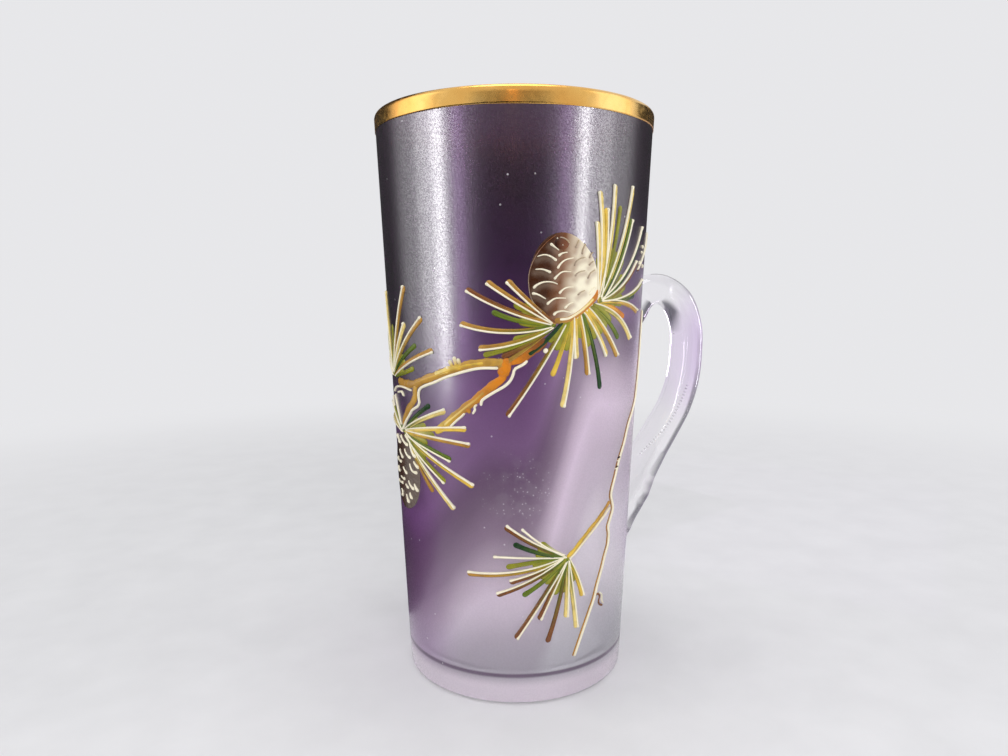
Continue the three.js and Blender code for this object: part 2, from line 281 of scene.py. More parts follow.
def distance(point, other=(0, 0, 0)):
    """How far a point lies from another, or from the origin."""
    node = add_node(point, "VectorMath", point, other, settings={"operation": "DISTANCE"})
    return node.outputs["Value"]


def noise(place, scale, detail=2.0, roughness=0.5):
    """A soft random value about 0.5."""
    inputs = {"Scale": scale, "Detail": detail, "Roughness": roughness}
    return add_node(place, "TexNoise", place, **inputs).outputs[0]


def bump(height, strength, distance):
    """A normal from a height."""
    node = add_node(height, "Bump", Height=height, Strength=strength, Distance=distance)
    return node.outputs[0]


print("helpers ready")

# %% [markdown]
# Two effects come back in several finishes: the fine grain that an acid bath leaves on glass, and
# the uneven coat of hand-laid enamel. Each is a node group with named inputs.

# %% Shared effects


def new_group(name, inputs, outputs):
    """A shader node group. A socket is (name, kind), and an input's own value may follow."""
    group = bpy.data.node_groups.new(name, "ShaderNodeTree")
    for way, sockets in ("INPUT", inputs), ("OUTPUT", outputs):
        for label, kind, *value in sockets:
            kind = "NodeSocket" + kind
            socket = group.interface.new_socket(label, in_out=way, socket_type=kind)
            if value:
                socket.default_value = value[0]
    start = group.nodes.new("NodeGroupInput")
    return group, start.outputs, group.nodes.new("NodeGroupOutput")


def shared_effect(group, place, **inputs):
    """The outputs of a group that is put to use in a material."""
    return add_node(place, "Group", settings={"node_tree": group}, Place=place, **inputs).outputs


def etched_grain():
    """Grain: very fine even noise. Specks: round dots, in fewer cells the higher the rarity."""
    inputs = [
        ("Place", "Vector"),
        ("Grain Scale", "Float", 2600.0),
        ("Speck Scale", "Float", 700.0),
        ("Speck Size", "Float", 0.16),
        ("Rarity", "Float", 0.97),
    ]
    outputs = [("Grain", "Float"), ("Specks", "Float")]
    group, given, result = new_group("etched_grain", inputs, outputs)
    place = given["Place"]
    fine = noise(place, given["Grain Scale"], 2.0, 0.6)
    cells = add_node(place, "TexVoronoi", Vector=place, Scale=given["Speck Scale"])
    near = math_node("LESS_THAN", cells.outputs["Distance"], given["Speck Size"])
    chosen = add_node(place, "SeparateColor", Color=cells.outputs["Color"])
    rare = math_node("GREATER_THAN", chosen.outputs[0], given["Rarity"])
    feed_all(result, Grain=fine, Specks=times(near, rare))
    return group


def brushed_coat():
    """Coat: a colour made lighter and darker by soft noise, as brushed enamel is."""
    inputs = [
        ("Place", "Vector"),
        ("Color", "Color", (0.5, 0.5, 0.5, 1)),
        ("Patch Scale", "Float", 500.0),
        ("Depth", "Float", 0.5),
    ]
    outputs = [("Color", "Color"), ("Roughness", "Float"), ("Height", "Float")]
    group, given, result = new_group("brushed_coat", inputs, outputs)
    patches = noise(given["Place"], given["Patch Scale"])
    share = times(map_range(patches, 0.4, 0.7), given["Depth"])
    thick = multiplied(share, given["Color"], (0.45, 0.4, 0.3, 1))
    rough = map_range(patches, 0.3, 0.7, 0.18, 0.34)
    feed_all(result, Color=thick, Roughness=rough, Height=patches)
    return group


ETCHED_GRAIN = etched_grain()
BRUSHED_COAT = brushed_coat()
print("groups:", ETCHED_GRAIN.name, BRUSHED_COAT.name)

# %% [markdown]
# The body is clear glass with a violet stain on its outside, etched to a satin skin. The stain is
# nearly black at the top and fades towards the foot, lower on one side than on the other, and it
# is greyer just above the foot. The colour sits on the outer skin only, and the inside stays
# polished and clear. Part of the light spreads in the etched skin, so the shader is glass mixed
# with a milky body, under a soft coat.

# %% The stained glass
STAIN = [
    (0.00, (0.95, 0.88, 0.95)),
    (0.06, (0.70, 0.60, 0.70)),
    (0.12, (0.72, 0.60, 0.71)),
    (0.19, (0.94, 0.78, 0.93)),
    (0.24, (0.64, 0.51, 0.62)),
    (0.29, (0.29, 0.20, 0.29)),
    (0.35, (0.17, 0.105, 0.17)),
    (0.40, (0.14, 0.07, 0.15)),
    (0.45, (0.23, 0.11, 0.27)),
    (0.54, (0.18, 0.07, 0.22)),
    (0.64, (0.075, 0.019, 0.105)),
    (0.73, (0.024, 0.004, 0.032)),
    (0.85, (0.010, 0.002, 0.009)),
    (1.00, (0.012, 0.003, 0.010)),
]
DEEP_SIDE = math.radians(165)
UNDER_SKIN = 0.5 * MM
# Height and width of the painted dark line of shade at the inner corner of the cup.
FOOT_LINE = 7.3 * MM
FOOT_LINE_WIDTH = 0.8 * MM
CLOUD_SCALE = 26.0
CLOUD_DEPTH = 9 * MM
GREYER = (0.42, 0.45, 0.46, 1)
PALE_LILAC = (1.0, 0.89, 0.99, 1)
PAINTED_CORNER_SHADE = (0.06, 0.02, 0.07, 1)
LIME_COLOUR = (0.80, 0.77, 0.80, 1)
LIME_BEARING = math.radians(-103)
LIME_HEIGHT = 0.377 * GLASS_HEIGHT
LIME_SPECKS = {"Speck_Scale": 1400.0, "Speck_Size": 0.27, "Rarity": 0.45}
LIME_FILM = 0.07
POLISHED = 0.02


def round_axis(radius, angle, height):
    """The points (x, y, z) at a radius, an angle and a height, or at whole grids of them."""
    x, y = radius * np.cos(angle), radius * np.sin(angle)
    return np.stack(np.broadcast_arrays(x, y, height), -1)


def stained_glass():
    """Violet, satin and partly milky outside, clear and polished inside."""
    material, shader, place = new_material("stained_glass")
    x, y, z = parts_of(place)
    off_axis = distance(add_node(place, "CombineXYZ", x, y).outputs[0])
    under_skin = plus(times(z, math.tan(WALL_SLOPE)), FOOT_RADIUS - UNDER_SKIN)
    outside = math_node("GREATER_THAN", off_axis, under_skin)

    # The stain ends low on one side and high on the other.
    across = plus(times(x, math.cos(DEEP_SIDE)), times(y, math.sin(DEEP_SIDE)))
    deeper = map_range(across, 4 * MM, 25 * MM, 0, 20 * MM)
    paler = map_range(across, -20 * MM, -2 * MM, 44 * MM, 0)
    paler = times(paler, map_range(z, 78 * MM, 112 * MM, 1, 0))
    cloud = times(minus(noise(place, CLOUD_SCALE, 3.0), 0.5), CLOUD_DEPTH)
    depth = plus(plus(z, minus(deeper, paler)), cloud)
    stain = ramp(math_node("DIVIDE", depth, GLASS_HEIGHT), STAIN)
    stain = multiplied(map_range(across, 12 * MM, 26 * MM), stain, (0.94, 0.62, 1.0, 1))

    # It is greyer just above the foot, and the foot itself is nearly clear.
    above_foot = map_range(z, 9 * MM, 34 * MM, 1, 0)
    stain = multiplied(above_foot, stain, GREYER)
    stain = mix_colours(map_range(z, 4 * MM, 8 * MM, 1, 0), stain, PALE_LILAC)

    # A painted dark line of shade where the floor of the cup meets the wall.
    off_line = math_node("ABSOLUTE", minus(z, FOOT_LINE))
    corner_shade_share = map_range(off_line, 0.2 * MM, FOOT_LINE_WIDTH, 0.9, 0.0)
    stain = mix_colours(corner_shade_share, stain, PAINTED_CORNER_SHADE)

    # The grain of the etched skin, a few specks all over, and a patch of dried lime on the front.
    skin = shared_effect(ETCHED_GRAIN, place)
    grain = skin["Grain"]
    lime = shared_effect(ETCHED_GRAIN, place, **LIME_SPECKS)
    lime_spot = round_axis(outer_radius(LIME_HEIGHT), LIME_BEARING, LIME_HEIGHT).tolist()
    near = map_range(distance(place, lime_spot), 3 * MM, 11 * MM, 1, 0)
    patch = times(near, map_range(noise(place, 300.0), 0.42, 0.6))
    dust = larger(skin["Specks"], times(lime["Specks"], patch))
    dust = larger(times(dust, 0.9), times(patch, LIME_FILM))
    dusted = mix_colours(dust, stain, LIME_COLOUR)

    satin = map_range(grain, 0.3, 0.7, 0.30, 0.40)
    sparkle = map_range(grain, 0.42, 0.58, 0.4, 1.0)
    feed_all(
        shader,
        Base_Color=mix_colours(outside, (1, 1, 1, 1), dusted),
        Roughness=map_range(outside, 0, 1, POLISHED, satin),
        Normal=bump(grain, 0.5, 0.06 * MM),
        Coat_Weight=times(outside, sparkle),
        Coat_Roughness=0.22,
        Coat_IOR=1.6,
        Specular_IOR_Level=0.22,
        Specular_Tint=(0.86, 0.80, 0.94, 1),
        Transmission_Weight=0.72,
        IOR=1.5,
    )
    return material


STAINED_GLASS = stained_glass()
print("stops of the stain:", len(STAIN))

# %% [markdown]
# The blown body is a profile turned round the axis: from the middle of the ground foot out to its
# bevel, up the wall, over the melted lip, down the inside and round the inner corner to the middle
# of the thick floor. Turning a profile is one product of two arrays.

# %% The blown body
AROUND = np.linspace(0, 2 * np.pi, 256, endpoint=False)
MIDDLE_RING = 0.4 * MM
GROUND_RADIUS = FOOT_RADIUS - 1.1 * FOOT_BEVEL


def arc(centre, radius, start, end, steps):
    """Points (radius, height) on a round from one angle to another."""
    angle = np.linspace(start, end, steps)
    return centre + radius * np.stack([np.cos(angle), np.sin(angle)], -1)


def blend(first, second, share):
    """The first value where the share is 0, the second where it is 1."""
    return first * (1 - share) + second * share


def line(start, end, steps):
    """Evenly spaced points between two points, both included."""
    return blend(np.asarray(start), np.asarray(end), np.linspace(0, 1, steps)[:, None])


lip_radius = WALL_THICKNESS / 2
lip_height = GLASS_HEIGHT - lip_radius
lip_centre = (outer_radius(lip_height) - lip_radius / math.cos(WALL_SLOPE), lip_height)
corner_height = BASE_THICKNESS + FLOOR_CORNER
corner_radius = inner_radius(corner_height) - FLOOR_CORNER / math.cos(WALL_SLOPE)
bevel_centre = (FOOT_RADIUS - FOOT_BEVEL, FOOT_BEVEL)
lip = arc(lip_centre, lip_radius, -WALL_SLOPE, math.pi - WALL_SLOPE, 15)
corner = arc((corner_radius, corner_height), FLOOR_CORNER, -WALL_SLOPE, -math.pi / 2, 15)
body_profile = np.concatenate(
    [
        line((MIDDLE_RING, 0), (GROUND_RADIUS, 0), 12),
        arc(bevel_centre, FOOT_BEVEL, -math.pi / 2, -WALL_SLOPE, 8),
        line((outer_radius(FOOT_BEVEL), FOOT_BEVEL), lip[0], 60)[1:-1],
        lip,
        line(lip[-1], corner[0], 60)[1:-1],
        corner,
        line((corner[-1][0] - MIDDLE_RING, BASE_THICKNESS), (MIDDLE_RING, BASE_THICKNESS), 12),
    ]
)
turned = round_axis(body_profile[:, :1], AROUND, body_profile[:, 1:])
glass = skin_mesh("blown_glass", [(turned, 0, None)], [STAINED_GLASS])
on_the_glass(glass, "violet_glass", "glass_body")

# %% [markdown]
# The gilding is a film of fired gold over the lip. Its lower edge is banded by hand, so it wavers
# a little, three times and eight times in a round, and the gold is cloudy.

# %% The gilding
GILT_HEIGHT = 4 * MM
GILT_INSIDE_DROP = 1.2 * MM
GILT_LIFT = 0.03 * MM
GILT_TOP = 0.16 * MM
SLOW_WAVER = 0.10 * MM
QUICK_WAVER = 0.07 * MM
GOLD = [(0.35, (0.80, 0.38, 0.08)), (0.52, (0.90, 0.52, 0.14)), (0.68, (0.95, 0.64, 0.24))]


def gilding():
    """Cloudy gold in three shades, with a finer noise in its roughness."""
    material, shader, place = new_material("burnished_gold")
    clouds = noise(place, 60.0, 3.0)
    feed_all(
        shader,
        Base_Color=ramp(clouds, GOLD),
        Metallic=1.0,
        Roughness=map_range(noise(place, 700.0), 0.35, 0.75, 0.20, 0.32),
        Normal=bump(clouds, 0.15, 0.2 * MM),
    )
    return material


def gilt_grid():
    """A thin closed sleeve: the lip's outline at two lifts, with a wavering lower edge."""
    skins = []
    down = np.array([-math.sin(WALL_SLOPE), -math.cos(WALL_SLOPE)])
    for lift in (GILT_TOP, GILT_LIFT):
        over = arc(lip_centre, lip_radius + lift, -WALL_SLOPE, math.pi - WALL_SLOPE, 17)
        rise = line(over[0] + down * (GILT_HEIGHT - lip_radius), over[0], 8)
        fall = line(over[-1], over[-1] + down * GILT_INSIDE_DROP, 4)
        skins.append(np.concatenate([rise[:-1], over, fall[1:]]))
    radius, height = np.concatenate([skins[0], skins[1][::-1]]).T
    angle = AROUND[:, None]
    low = np.clip((lip_centre[1] - height) / GILT_HEIGHT, 0, 1)
    waver = SLOW_WAVER * np.sin(3 * angle + 1) + QUICK_WAVER * np.sin(8 * angle)
    return round_axis(radius, angle, height + waver * low)


def ring_mesh(name, grid, material):
    """A section carried all the way round: the grid closes on itself both ways."""
    steps, ring = grid.shape[:2]
    i, j = np.meshgrid(np.arange(steps), np.arange(ring), indexing="ij")
    here, onward, after = i * ring, (i + 1) % steps * ring, (j + 1) % ring
    faces = np.stack([onward + j, onward + after, here + after, here + j], -1)
    return mesh_object(name, grid.reshape(-1, 3), faces.reshape(-1, 4).tolist(), [material])


on_the_glass(ring_mesh("gilding", gilt_grid(), gilding()), "gilding", "gilt_rim")

# %% [markdown]
# The handle is a gather of clear glass, stuck on above, bent over and pressed on below, where the
# end is drawn out to a tail. It is one oval section carried along one path, and what would reach
# into the wall is pressed flat against it. A thread of small bubbles lies in its bend.

# %% The handle
HANDLE_TOP = 0.685 * GLASS_HEIGHT
HANDLE_FOOT = 0.335 * GLASS_HEIGHT
HANDLE_STEPS = 180
HANDLE_SIDES = 40
PRESSED_IN = 0.15 * MM
HANDLE_LILAC = (0.80, 0.64, 0.92, 1)
# Each: share of the rise, distance of the middle line off the wall in millimetres.
HANDLE_PATH = np.array([
    (0.955, -1.15), (1.02, 3.8), (1.03, 8.65), (0.96, 13.8), (0.82, 16.8), (0.67, 17.3),
    (0.53, 16.8), (0.39, 14.9), (0.26, 11.6), (0.13, 8.0), (0.01, 4.7), (-0.12, 1.7), (-0.25, 0.3),
    (-0.43, 0.0),
])


def lengths_along(curve):
    """The length of the curve up to each of its points."""
    return np.concatenate([[0], np.cumsum(np.linalg.norm(np.diff(curve, axis=0), axis=1))])


def points_at(curve, lengths):
    """The points of the curve at the given lengths along it."""
    run = lengths_along(curve)
    return np.stack([np.interp(lengths, run, column) for column in curve.T], -1)


def directions(curve):
    """The direction of the curve at each of its points, as a unit vector."""
    along = np.gradient(curve, axis=0)
    return along / np.maximum(np.linalg.norm(along, axis=1, keepdims=True), 1e-12)


def to_left(along):
    """Flat directions turned a quarter to the left."""
    return np.stack([-along[:, 1], along[:, 0]], -1)


def smooth_path(points, steps):
    """Evenly spaced points on a smooth curve through given points.

    Between two points the curve is a cubic whose slopes come from the points on either side."""
    before_first = 2 * points[:1] - points[1:2]
    after_last = 2 * points[-1:] - points[-2:-1]
    extended = np.concatenate([before_first, points, after_last])
    before, start, end, after = extended[:-3], extended[1:-2], extended[2:-1], extended[3:]
    t = np.linspace(0, 1, 24, endpoint=False)[None, :, None]
    slope_in = (end - before)[:, None] / 2
    slope_out = (after - start)[:, None] / 2
    start, end = start[:, None], end[:, None]
    curve = (
        (2 * t**3 - 3 * t**2 + 1) * start
        + (t**3 - 2 * t**2 + t) * slope_in
        + (3 * t**2 - 2 * t**3) * end
        + (t**3 - t**2) * slope_out
    ).reshape(-1, points.shape[1])
    curve = np.concatenate([curve, points[-1:]])
    return points_at(curve, np.linspace(0, lengths_along(curve)[-1], steps))


def handle_grid():
    """Ovals square to the path in the plane y = 0, pressed back where they cross the wall."""
    height = HANDLE_FOOT + (HANDLE_TOP - HANDLE_FOOT) * HANDLE_PATH[:, 0]
    radius = outer_radius(height) + HANDLE_PATH[:, 1] * MM
    path = smooth_path(np.stack([radius, height], -1), HANDLE_STEPS)
    share = np.linspace(0, 1, HANDLE_STEPS)
    half_height = MM * np.interp(
        share,
        [0, 0.05, 0.1, 0.3, 0.5, 0.66, 0.74, 0.80, 0.86, 0.93, 0.98, 1],
        [6.8, 4.7, 4.0, 4.15, 4.4, 4.6, 4.9, 5.9, 5.0, 3.3, 1.4, 0.3],
    )
    half_width = MM * np.interp(
        share,
        [0, 0.05, 0.1, 0.3, 0.66, 0.76, 0.84, 0.93, 0.98, 1],
        [7.0, 5.4, 5.0, 5.0, 5.2, 6.2, 6.3, 4.6, 2.4, 0.5],
    )
    round_ = np.linspace(2 * np.pi, 0, HANDLE_SIDES, endpoint=False)
    outward = to_left(directions(path))
    offset = half_height[:, None] * np.cos(round_)
    x = path[:, :1] + outward[:, :1] * offset
    z = path[:, 1:] + outward[:, 1:] * offset
    y = half_width[:, None] * np.sin(round_)
    off_axis = np.hypot(x, y)
    pressed = np.maximum(off_axis, outer_radius(z) - PRESSED_IN) / off_axis
    return np.stack([x * pressed, y * pressed, z], -1)


def clear_glass():
    """Clear glass with soft waves, lilac where the bow stands farthest from the axis."""
    material, shader, place = new_material("clear_glass")
    waves = noise(place, 90.0)
    clear = mix_colours(waves, (0.96, 0.95, 0.97, 1), (0.99, 0.97, 0.99, 1))
    outer = map_range(parts_of(place)[0], 45 * MM, 53 * MM)
    feed_all(
        shader,
        Base_Color=mix_colours(outer, clear, HANDLE_LILAC),
        Roughness=map_range(waves, 0.3, 0.7, 0.0, 0.04),
        Normal=bump(waves, 0.12, 0.3 * MM),
        Transmission_Weight=1.0,
        IOR=1.5,
    )
    return material


BUBBLE_RADIUS = 0.2 * MM
BUBBLE_RISE = 1.3
# The places of bubbles, as radius and height in millimetres.
BUBBLE_ROW = [(49.2, 71), (47.8, 67.2), (45.6, 62.8), (42.6, 58.5), (39.2, 54.6), (36.6, 51.6)]
LONE_BUBBLES = [(44.2, 84.8), (45.9, 85.4)]


def bubble(radius, height):
    """A small closed ball in the plane y = 0, as rings from its top to its foot.

    The order turns its faces inward, since a bubble is air and the glass lies round it."""
    rise = np.linspace(BUBBLE_RISE, -BUBBLE_RISE, 5)[:, None]
    round_ = np.linspace(0, 2 * np.pi, 8, endpoint=False)
    ball = round_axis(BUBBLE_RADIUS * np.cos(rise), round_, BUBBLE_RADIUS * np.sin(rise))
    return ball + (radius, 0, height)


row = smooth_path(MM * np.array(BUBBLE_ROW), 26)
bubbles = [bubble(*spot) for spot in (*row, *(MM * np.array(LONE_BUBBLES)))]
skins = [(grid, 0, None) for grid in [handle_grid(), *bubbles]]
handle = skin_mesh("drawn_handle", skins, [clear_glass()])
on_the_glass(handle, "clear_glass", "handle")

# %% [markdown]
# Enamel is laid on in strokes. A stroke is a low dome carried along a curve on the unrolled wall
# and carried back on the cone. It is widest before its blunt end, where the brush was lifted, and
# its underside lies just inside the glass, because the enamel is fused to it.

# %% Strokes of enamel
SPRAY_MIDDLE = -105
SUNK = 0.03 * MM
STROKE_STEPS = 18
STEP_LENGTH = 0.5 * MM
STROKE_RING = 9
CREAM = ("cream", "cream")
PAINTS = {
    "cream": (1.0, 0.93, 0.72),
    "pale": (0.90, 0.70, 0.24),
    "yellow": (0.80, 0.53, 0.07),
    "ochre": (0.50, 0.26, 0.045),
    "orange": (0.74, 0.24, 0.015),
    "brown": (0.22, 0.075, 0.02),
    "gold": (0.60, 0.34, 0.06),
    "russet": (0.24, 0.075, 0.025),
    "bark": (0.035, 0.010, 0.005),
    "umber": (0.055, 0.015, 0.004),
    "ash": (0.17, 0.135, 0.115),
    "tan": (0.42, 0.33, 0.25),
    "sand": (0.58, 0.45, 0.28),
    "olive": (0.30, 0.295, 0.022),
    "green": (0.12, 0.18, 0.012),
    "deep": (0.012, 0.05, 0.012),
}


def on_wall(place, x, y, lift):
    """The point x round the wall and y up it from a place, both in metres, and a lift off it.

    A place is degrees round from the middle of the spray and a share of the height."""
    height = place[1] * GLASS_HEIGHT + y
    radius = outer_radius(height)
    angle = math.radians(SPRAY_MIDDLE + place[0]) + x / radius
    return round_axis(radius + lift, angle, height)


def between(place, other):
    """How far another place lies from this one, round the wall and up it."""
    height = (other[1] - place[1]) * GLASS_HEIGHT
    round_ = math.radians(other[0] - place[0]) * outer_radius(other[1] * GLASS_HEIGHT)
    return round_, height


def stroke(place, curve, width, relief, colours, root=0.7, blob=0.12, material=0, knobs=0):
    """A dome of the given width and relief along a flat curve, with round ends.

    Its width grows from the root's share to the full, swells by the blob's share near the tip and
    shrinks at both ends as a circle does. Knobs is the share of two waves, 4 and 1.7 mm long. The
    colour goes from the first to the last along the stroke and is darker at its sides."""
    length = lengths_along(curve)[-1]
    steps = max(STROKE_STEPS, round(length / STEP_LENGTH))
    share = (1 - np.cos(np.pi * np.linspace(0, 1, steps))) / 2
    at = points_at(curve, share * length)
    along = directions(at)
    cap = min(0.45, 0.6 * width / length)
    from_end = np.minimum(share, 1 - share) / cap
    closing = np.sqrt(np.clip(1 - (1 - np.minimum(from_end, 1)) ** 2, 0.0004, 1))
    swell = 1 + blob * np.exp(-(((share - 1 + cap) / (1.2 * cap)) ** 2))
    turns = 2 * np.pi * share * length / MM
    waves = 1 + knobs * (0.6 * np.sin(turns / 4 + width / MM) + 0.4 * np.sin(turns / 1.7))
    half = width / 2 * (root + (1 - root) * share) * swell * closing * waves
    high = relief * closing * swell
    round_ = np.linspace(0, np.pi, STROKE_RING)
    across = half[:, None] * np.cos(round_)
    lift = -SUNK + (high[:, None] + SUNK) * np.sin(round_)
    x = at[:, :1] - along[:, 1:] * across
    y = at[:, 1:] + along[:, :1] * across
    first, last = (np.array(PAINTS[name]) for name in colours)
    fade = np.clip(1.3 * share - 0.15, 0, 1)[:, None, None]
    shade = 0.78 + 0.22 * np.sin(round_)[None, :, None]
    return on_wall(place, x, y, lift), material, blend(first, last, fade) * shade


def spline(points, steps=40):
    """A smooth flat curve through (round, up) points."""
    return smooth_path(np.asarray(points, float), steps)


def bowed(root, direction, length, bow, steps=24):
    """A curve that leaves its root in a direction and bows to its left."""
    angle = math.radians(direction)
    along = np.array([math.cos(angle), math.sin(angle)])
    left = np.array([-along[1], along[0]])
    share = np.linspace(0, 1, steps)[:, None]
    return root + along * length * share + left * 4 * bow * share * (1 - share)


def beside(curve, distance):
    """The curve moved to its left by a distance."""
    return curve + distance * to_left(directions(curve))


print("short strokes of", STROKE_STEPS * STROKE_RING, "points")

# %% [markdown]
# The enamel is glossy and a little uneven. Its colour comes from the strokes themselves, as an
# attribute on the points, and the shared brushed coat breaks it up.

# %% The enamels


def enamel(name, patch_scale, depth, gloss):
    """Glossy paint: the strokes' own colours, broken up by the brushed coat."""
    material, shader, place = new_material(name)
    paint = add_node(place, "Attribute", settings={"attribute_name": "paint"}).outputs["Color"]
    coat = shared_effect(BRUSHED_COAT, place, Color=paint, Patch_Scale=patch_scale, Depth=depth)
    feed_all(
        shader,
        Base_Color=coat["Color"],
        Roughness=coat["Roughness"],
        Normal=bump(coat["Height"], 0.3, 0.1 * MM),
        Specular_IOR_Level=0.3,
        Coat_Weight=gloss,
    )
    return material


ENAMELS = [enamel("painted_enamel", 500.0, 0.45, 0.25), enamel("raised_enamel", 900.0, 0.12, 0.2)]
print("enamels:", [material.name for material in ENAMELS])

# %% [markdown]
# Each needle of the pine is a broad coloured stroke, with a narrower one in the colour of its tip
# along one side and a raised cream line along the other. The tufts are lists of directions,
# lengths and bows, and each tuft is one piece. The lists started from pixels read off the
# photograph, which another program carried onto the wall, and were then adjusted by hand.

# %% The needles
NEEDLE_WIDTH = 1.25 * MM
NEEDLE_RELIEF = 0.24 * MM
RELIEF_STEP = 0.02 * MM
ACCENT_WIDTH = 0.6 * MM
ACCENT_RELIEF = 0.34 * MM
GROUND_WIDTH = 1.7 * MM
GROUND_RELIEF = 0.18 * MM
GROUND_SHARE = 0.58
GROUND_GAP = 60
LINE_WIDTH = 0.58 * MM
LINE_RELIEF = 0.46 * MM

# Each tuft: its place, its stem in millimetres and its needles. Each needle: direction in degrees,
# length and bow in millimetres, colours from root to tip, and the side of the cream line: 1 left,
# -1 right, 0 none.
TUFTS = {
    "needles_above_cone": ((35.5, 0.675), (0, 0), [
        (94, 18, -0.3, "yellow", "pale", 1), (92, 24.5, -1, "yellow", "pale", 1),
        (87, 21, -0.8, "olive", "yellow", -1), (82, 26.5, -1, "olive", "pale", 1),
        (75, 22.5, -1, "green", "olive", 0), (68, 28.5, -1.4, "olive", "pale", 1),
        (61, 22, -1.2, "deep", "green", -1), (45, 25, -1.8, "green", "deep", 1),
        (33, 17.5, -1.2, "olive", "brown", 1), (14, 21, -1.2, "green", "olive", 1),
        (7, 14.5, -0.6, "olive", "deep", 0), (-8, 17, 1.1, "yellow", "gold", 1),
        (-20, 10, 0.6, "yellow", "orange", 0),
    ]),
    "needles_below_cone": ((32.3, 0.673), (-7.2, -3.4), [
        (-30, 17, 1.6, "olive", "pale", 1), (-38, 12.5, 0.8, "olive", "green", 0),
        (-48, 15.5, 0.5, "yellow", "gold", 1), (-56, 13, 0.4, "yellow", "pale", -1),
        (-71, 19, 0.8, "green", "deep", 0), (-78, 14.5, 0.3, "yellow", "ochre", 1),
        (-86, 10, 0, "yellow", "pale", -1), (-95, 20.5, 0.6, "yellow", "pale", 1),
        (-106, 13.5, 0.4, "olive", "yellow", 0), (-121, 25, 0.4, "olive", "brown", 1),
        (-137, 11, 0.5, "deep", "deep", 0),
    ]),
    "needles_left_of_cone": ((16.5, 0.644), (0, 0), [
        (139, 14.5, 0.3, "brown", "ochre", 1), (149, 18, 0.3, "brown", "ochre", 1),
        (159, 21.5, 0.9, "ochre", "brown", 1), (169, 14.5, 0.9, "olive", "green", 0),
        (179.5, 21.5, 1.6, "green", "ochre", 1), (-163, 18, 1.1, "olive", "ochre", 1),
        (-157, 17.5, 0.9, "green", "olive", 0), (-149, 14, 0.6, "olive", "brown", 0),
        (-143, 16, 0.3, "green", "ochre", 0),
    ]),
    "needles_upper_left": ((-68.5, 0.547), (0, 0), [
        (152, 16, -0.5, "olive", "yellow", 1), (130, 19, -0.5, "green", "olive", 1),
        (108, 22, -0.3, "olive", "pale", 1), (66, 24, 0.5, "olive", "ochre", 1),
        (56, 16, 0.3, "green", "pale", 1), (43, 21.5, 0.5, "olive", "ochre", 1),
        (33, 15.5, 0.4, "deep", "green", 0), (22, 20, 0.4, "ochre", "ochre", -1),
        (14, 12, -0.3, "green", "olive", 0),
    ]),
    "needles_lower_left": ((-59.5, 0.453), (0, 0), [
        (34, 14, 0.4, "green", "deep", 0), (23, 17.5, 0.4, "green", "pale", 1),
        (8, 21.5, 0.5, "pale", "yellow", 1), (-2, 22, 0.4, "yellow", "ochre", 1),
        (-15, 17.5, 0.3, "green", "green", -1), (-25, 24.5, 0.3, "olive", "yellow", 1),
        (-34, 18, 0.2, "green", "olive", -1), (-44, 23.5, 0.2, "olive", "pale", 1),
        (-50, 17, 0, "green", "ochre", 0), (172, 15, -0.4, "olive", "pale", 1),
        (150, 13, -0.4, "green", "olive", 1),
    ]),
    "needles_bottom": ((24, 0.256), (0, 0), [
        (145, 13.5, 0.5, "cream", "cream", 0), (151, 17, 0.6, "green", "brown", -1),
        (162, 13.5, 0.5, "green", "deep", 0), (177, 17.5, -0.2, "cream", "cream", 0),
        (-174, 14.5, -0.4, "green", "olive", 0), (-171, 24, 1, "olive", "ochre", -1),
        (-159, 14.5, 0.4, "green", "brown", -1), (-153, 18.5, 0.6, "green", "brown", -1),
        (-141, 13.5, 0.5, "olive", "green", 0), (-122, 22.5, 0, "green", "brown", 1),
        (-114, 16, 0, "olive", "brown", 1), (-102, 21, 0.6, "green", "brown", 0),
        (-89, 15, 0.1, "olive", "pale", 1), (-80, 18.5, 0.1, "green", "pale", 1),
        (-66, 11.5, 0.4, "olive", "yellow", 1),
    ]),
}


def cream_edge(place, curve):
    """A raised cream line with a drop at its tip."""
    return stroke(place, curve, LINE_WIDTH, LINE_RELIEF, CREAM, blob=0.35, material=1)


def tuft(place, stem, needles):
    """All strokes of one tuft, with the roots spread evenly along the stem.

    Short broad strokes between neighbours are laid first, as the ground of the tuft."""
    strokes = []
    roots = [np.array(stem) * MM * i / (len(needles) - 1) for i in range(len(needles))]
    for root, here, after in zip(roots, needles[:-1], needles[1:]):
        if abs(here[0] - after[0]) > GROUND_GAP:
            continue
        length = GROUND_SHARE * min(here[1], after[1]) * MM
        curve = bowed(root, (here[0] + after[0]) / 2, length, (here[2] + after[2]) / 4 * MM)
        strokes.append(stroke(place, curve, GROUND_WIDTH, GROUND_RELIEF, (here[3], "olive"), 0.6))
    for i, (direction, length, bow, *colours, line_side) in enumerate(needles):
        curve = bowed(roots[i], direction, length * MM, bow * MM)
        if tuple(colours) == CREAM:
            strokes.append(cream_edge(place, curve))
            continue
        relief = NEEDLE_RELIEF + RELIEF_STEP * (i % 3)
        strokes.append(stroke(place, curve, NEEDLE_WIDTH, relief, colours))
        accent = beside(curve, (-line_side or 1) * 0.22 * NEEDLE_WIDTH)[5:-1]
        tip = colours[1:] * 2
        strokes.append(stroke(place, accent, ACCENT_WIDTH, ACCENT_RELIEF, tip, root=0.3))
        if line_side:
            edge = beside(curve, line_side * 0.34 * NEEDLE_WIDTH)[1:]
            strokes.append(cream_edge(place, edge))
    return strokes


for name, (place, stem, needles) in TUFTS.items():
    piece = skin_mesh(name + "_painted", tuft(place, stem, needles), ENAMELS)
    on_the_glass(piece, "needle_enamel", name)

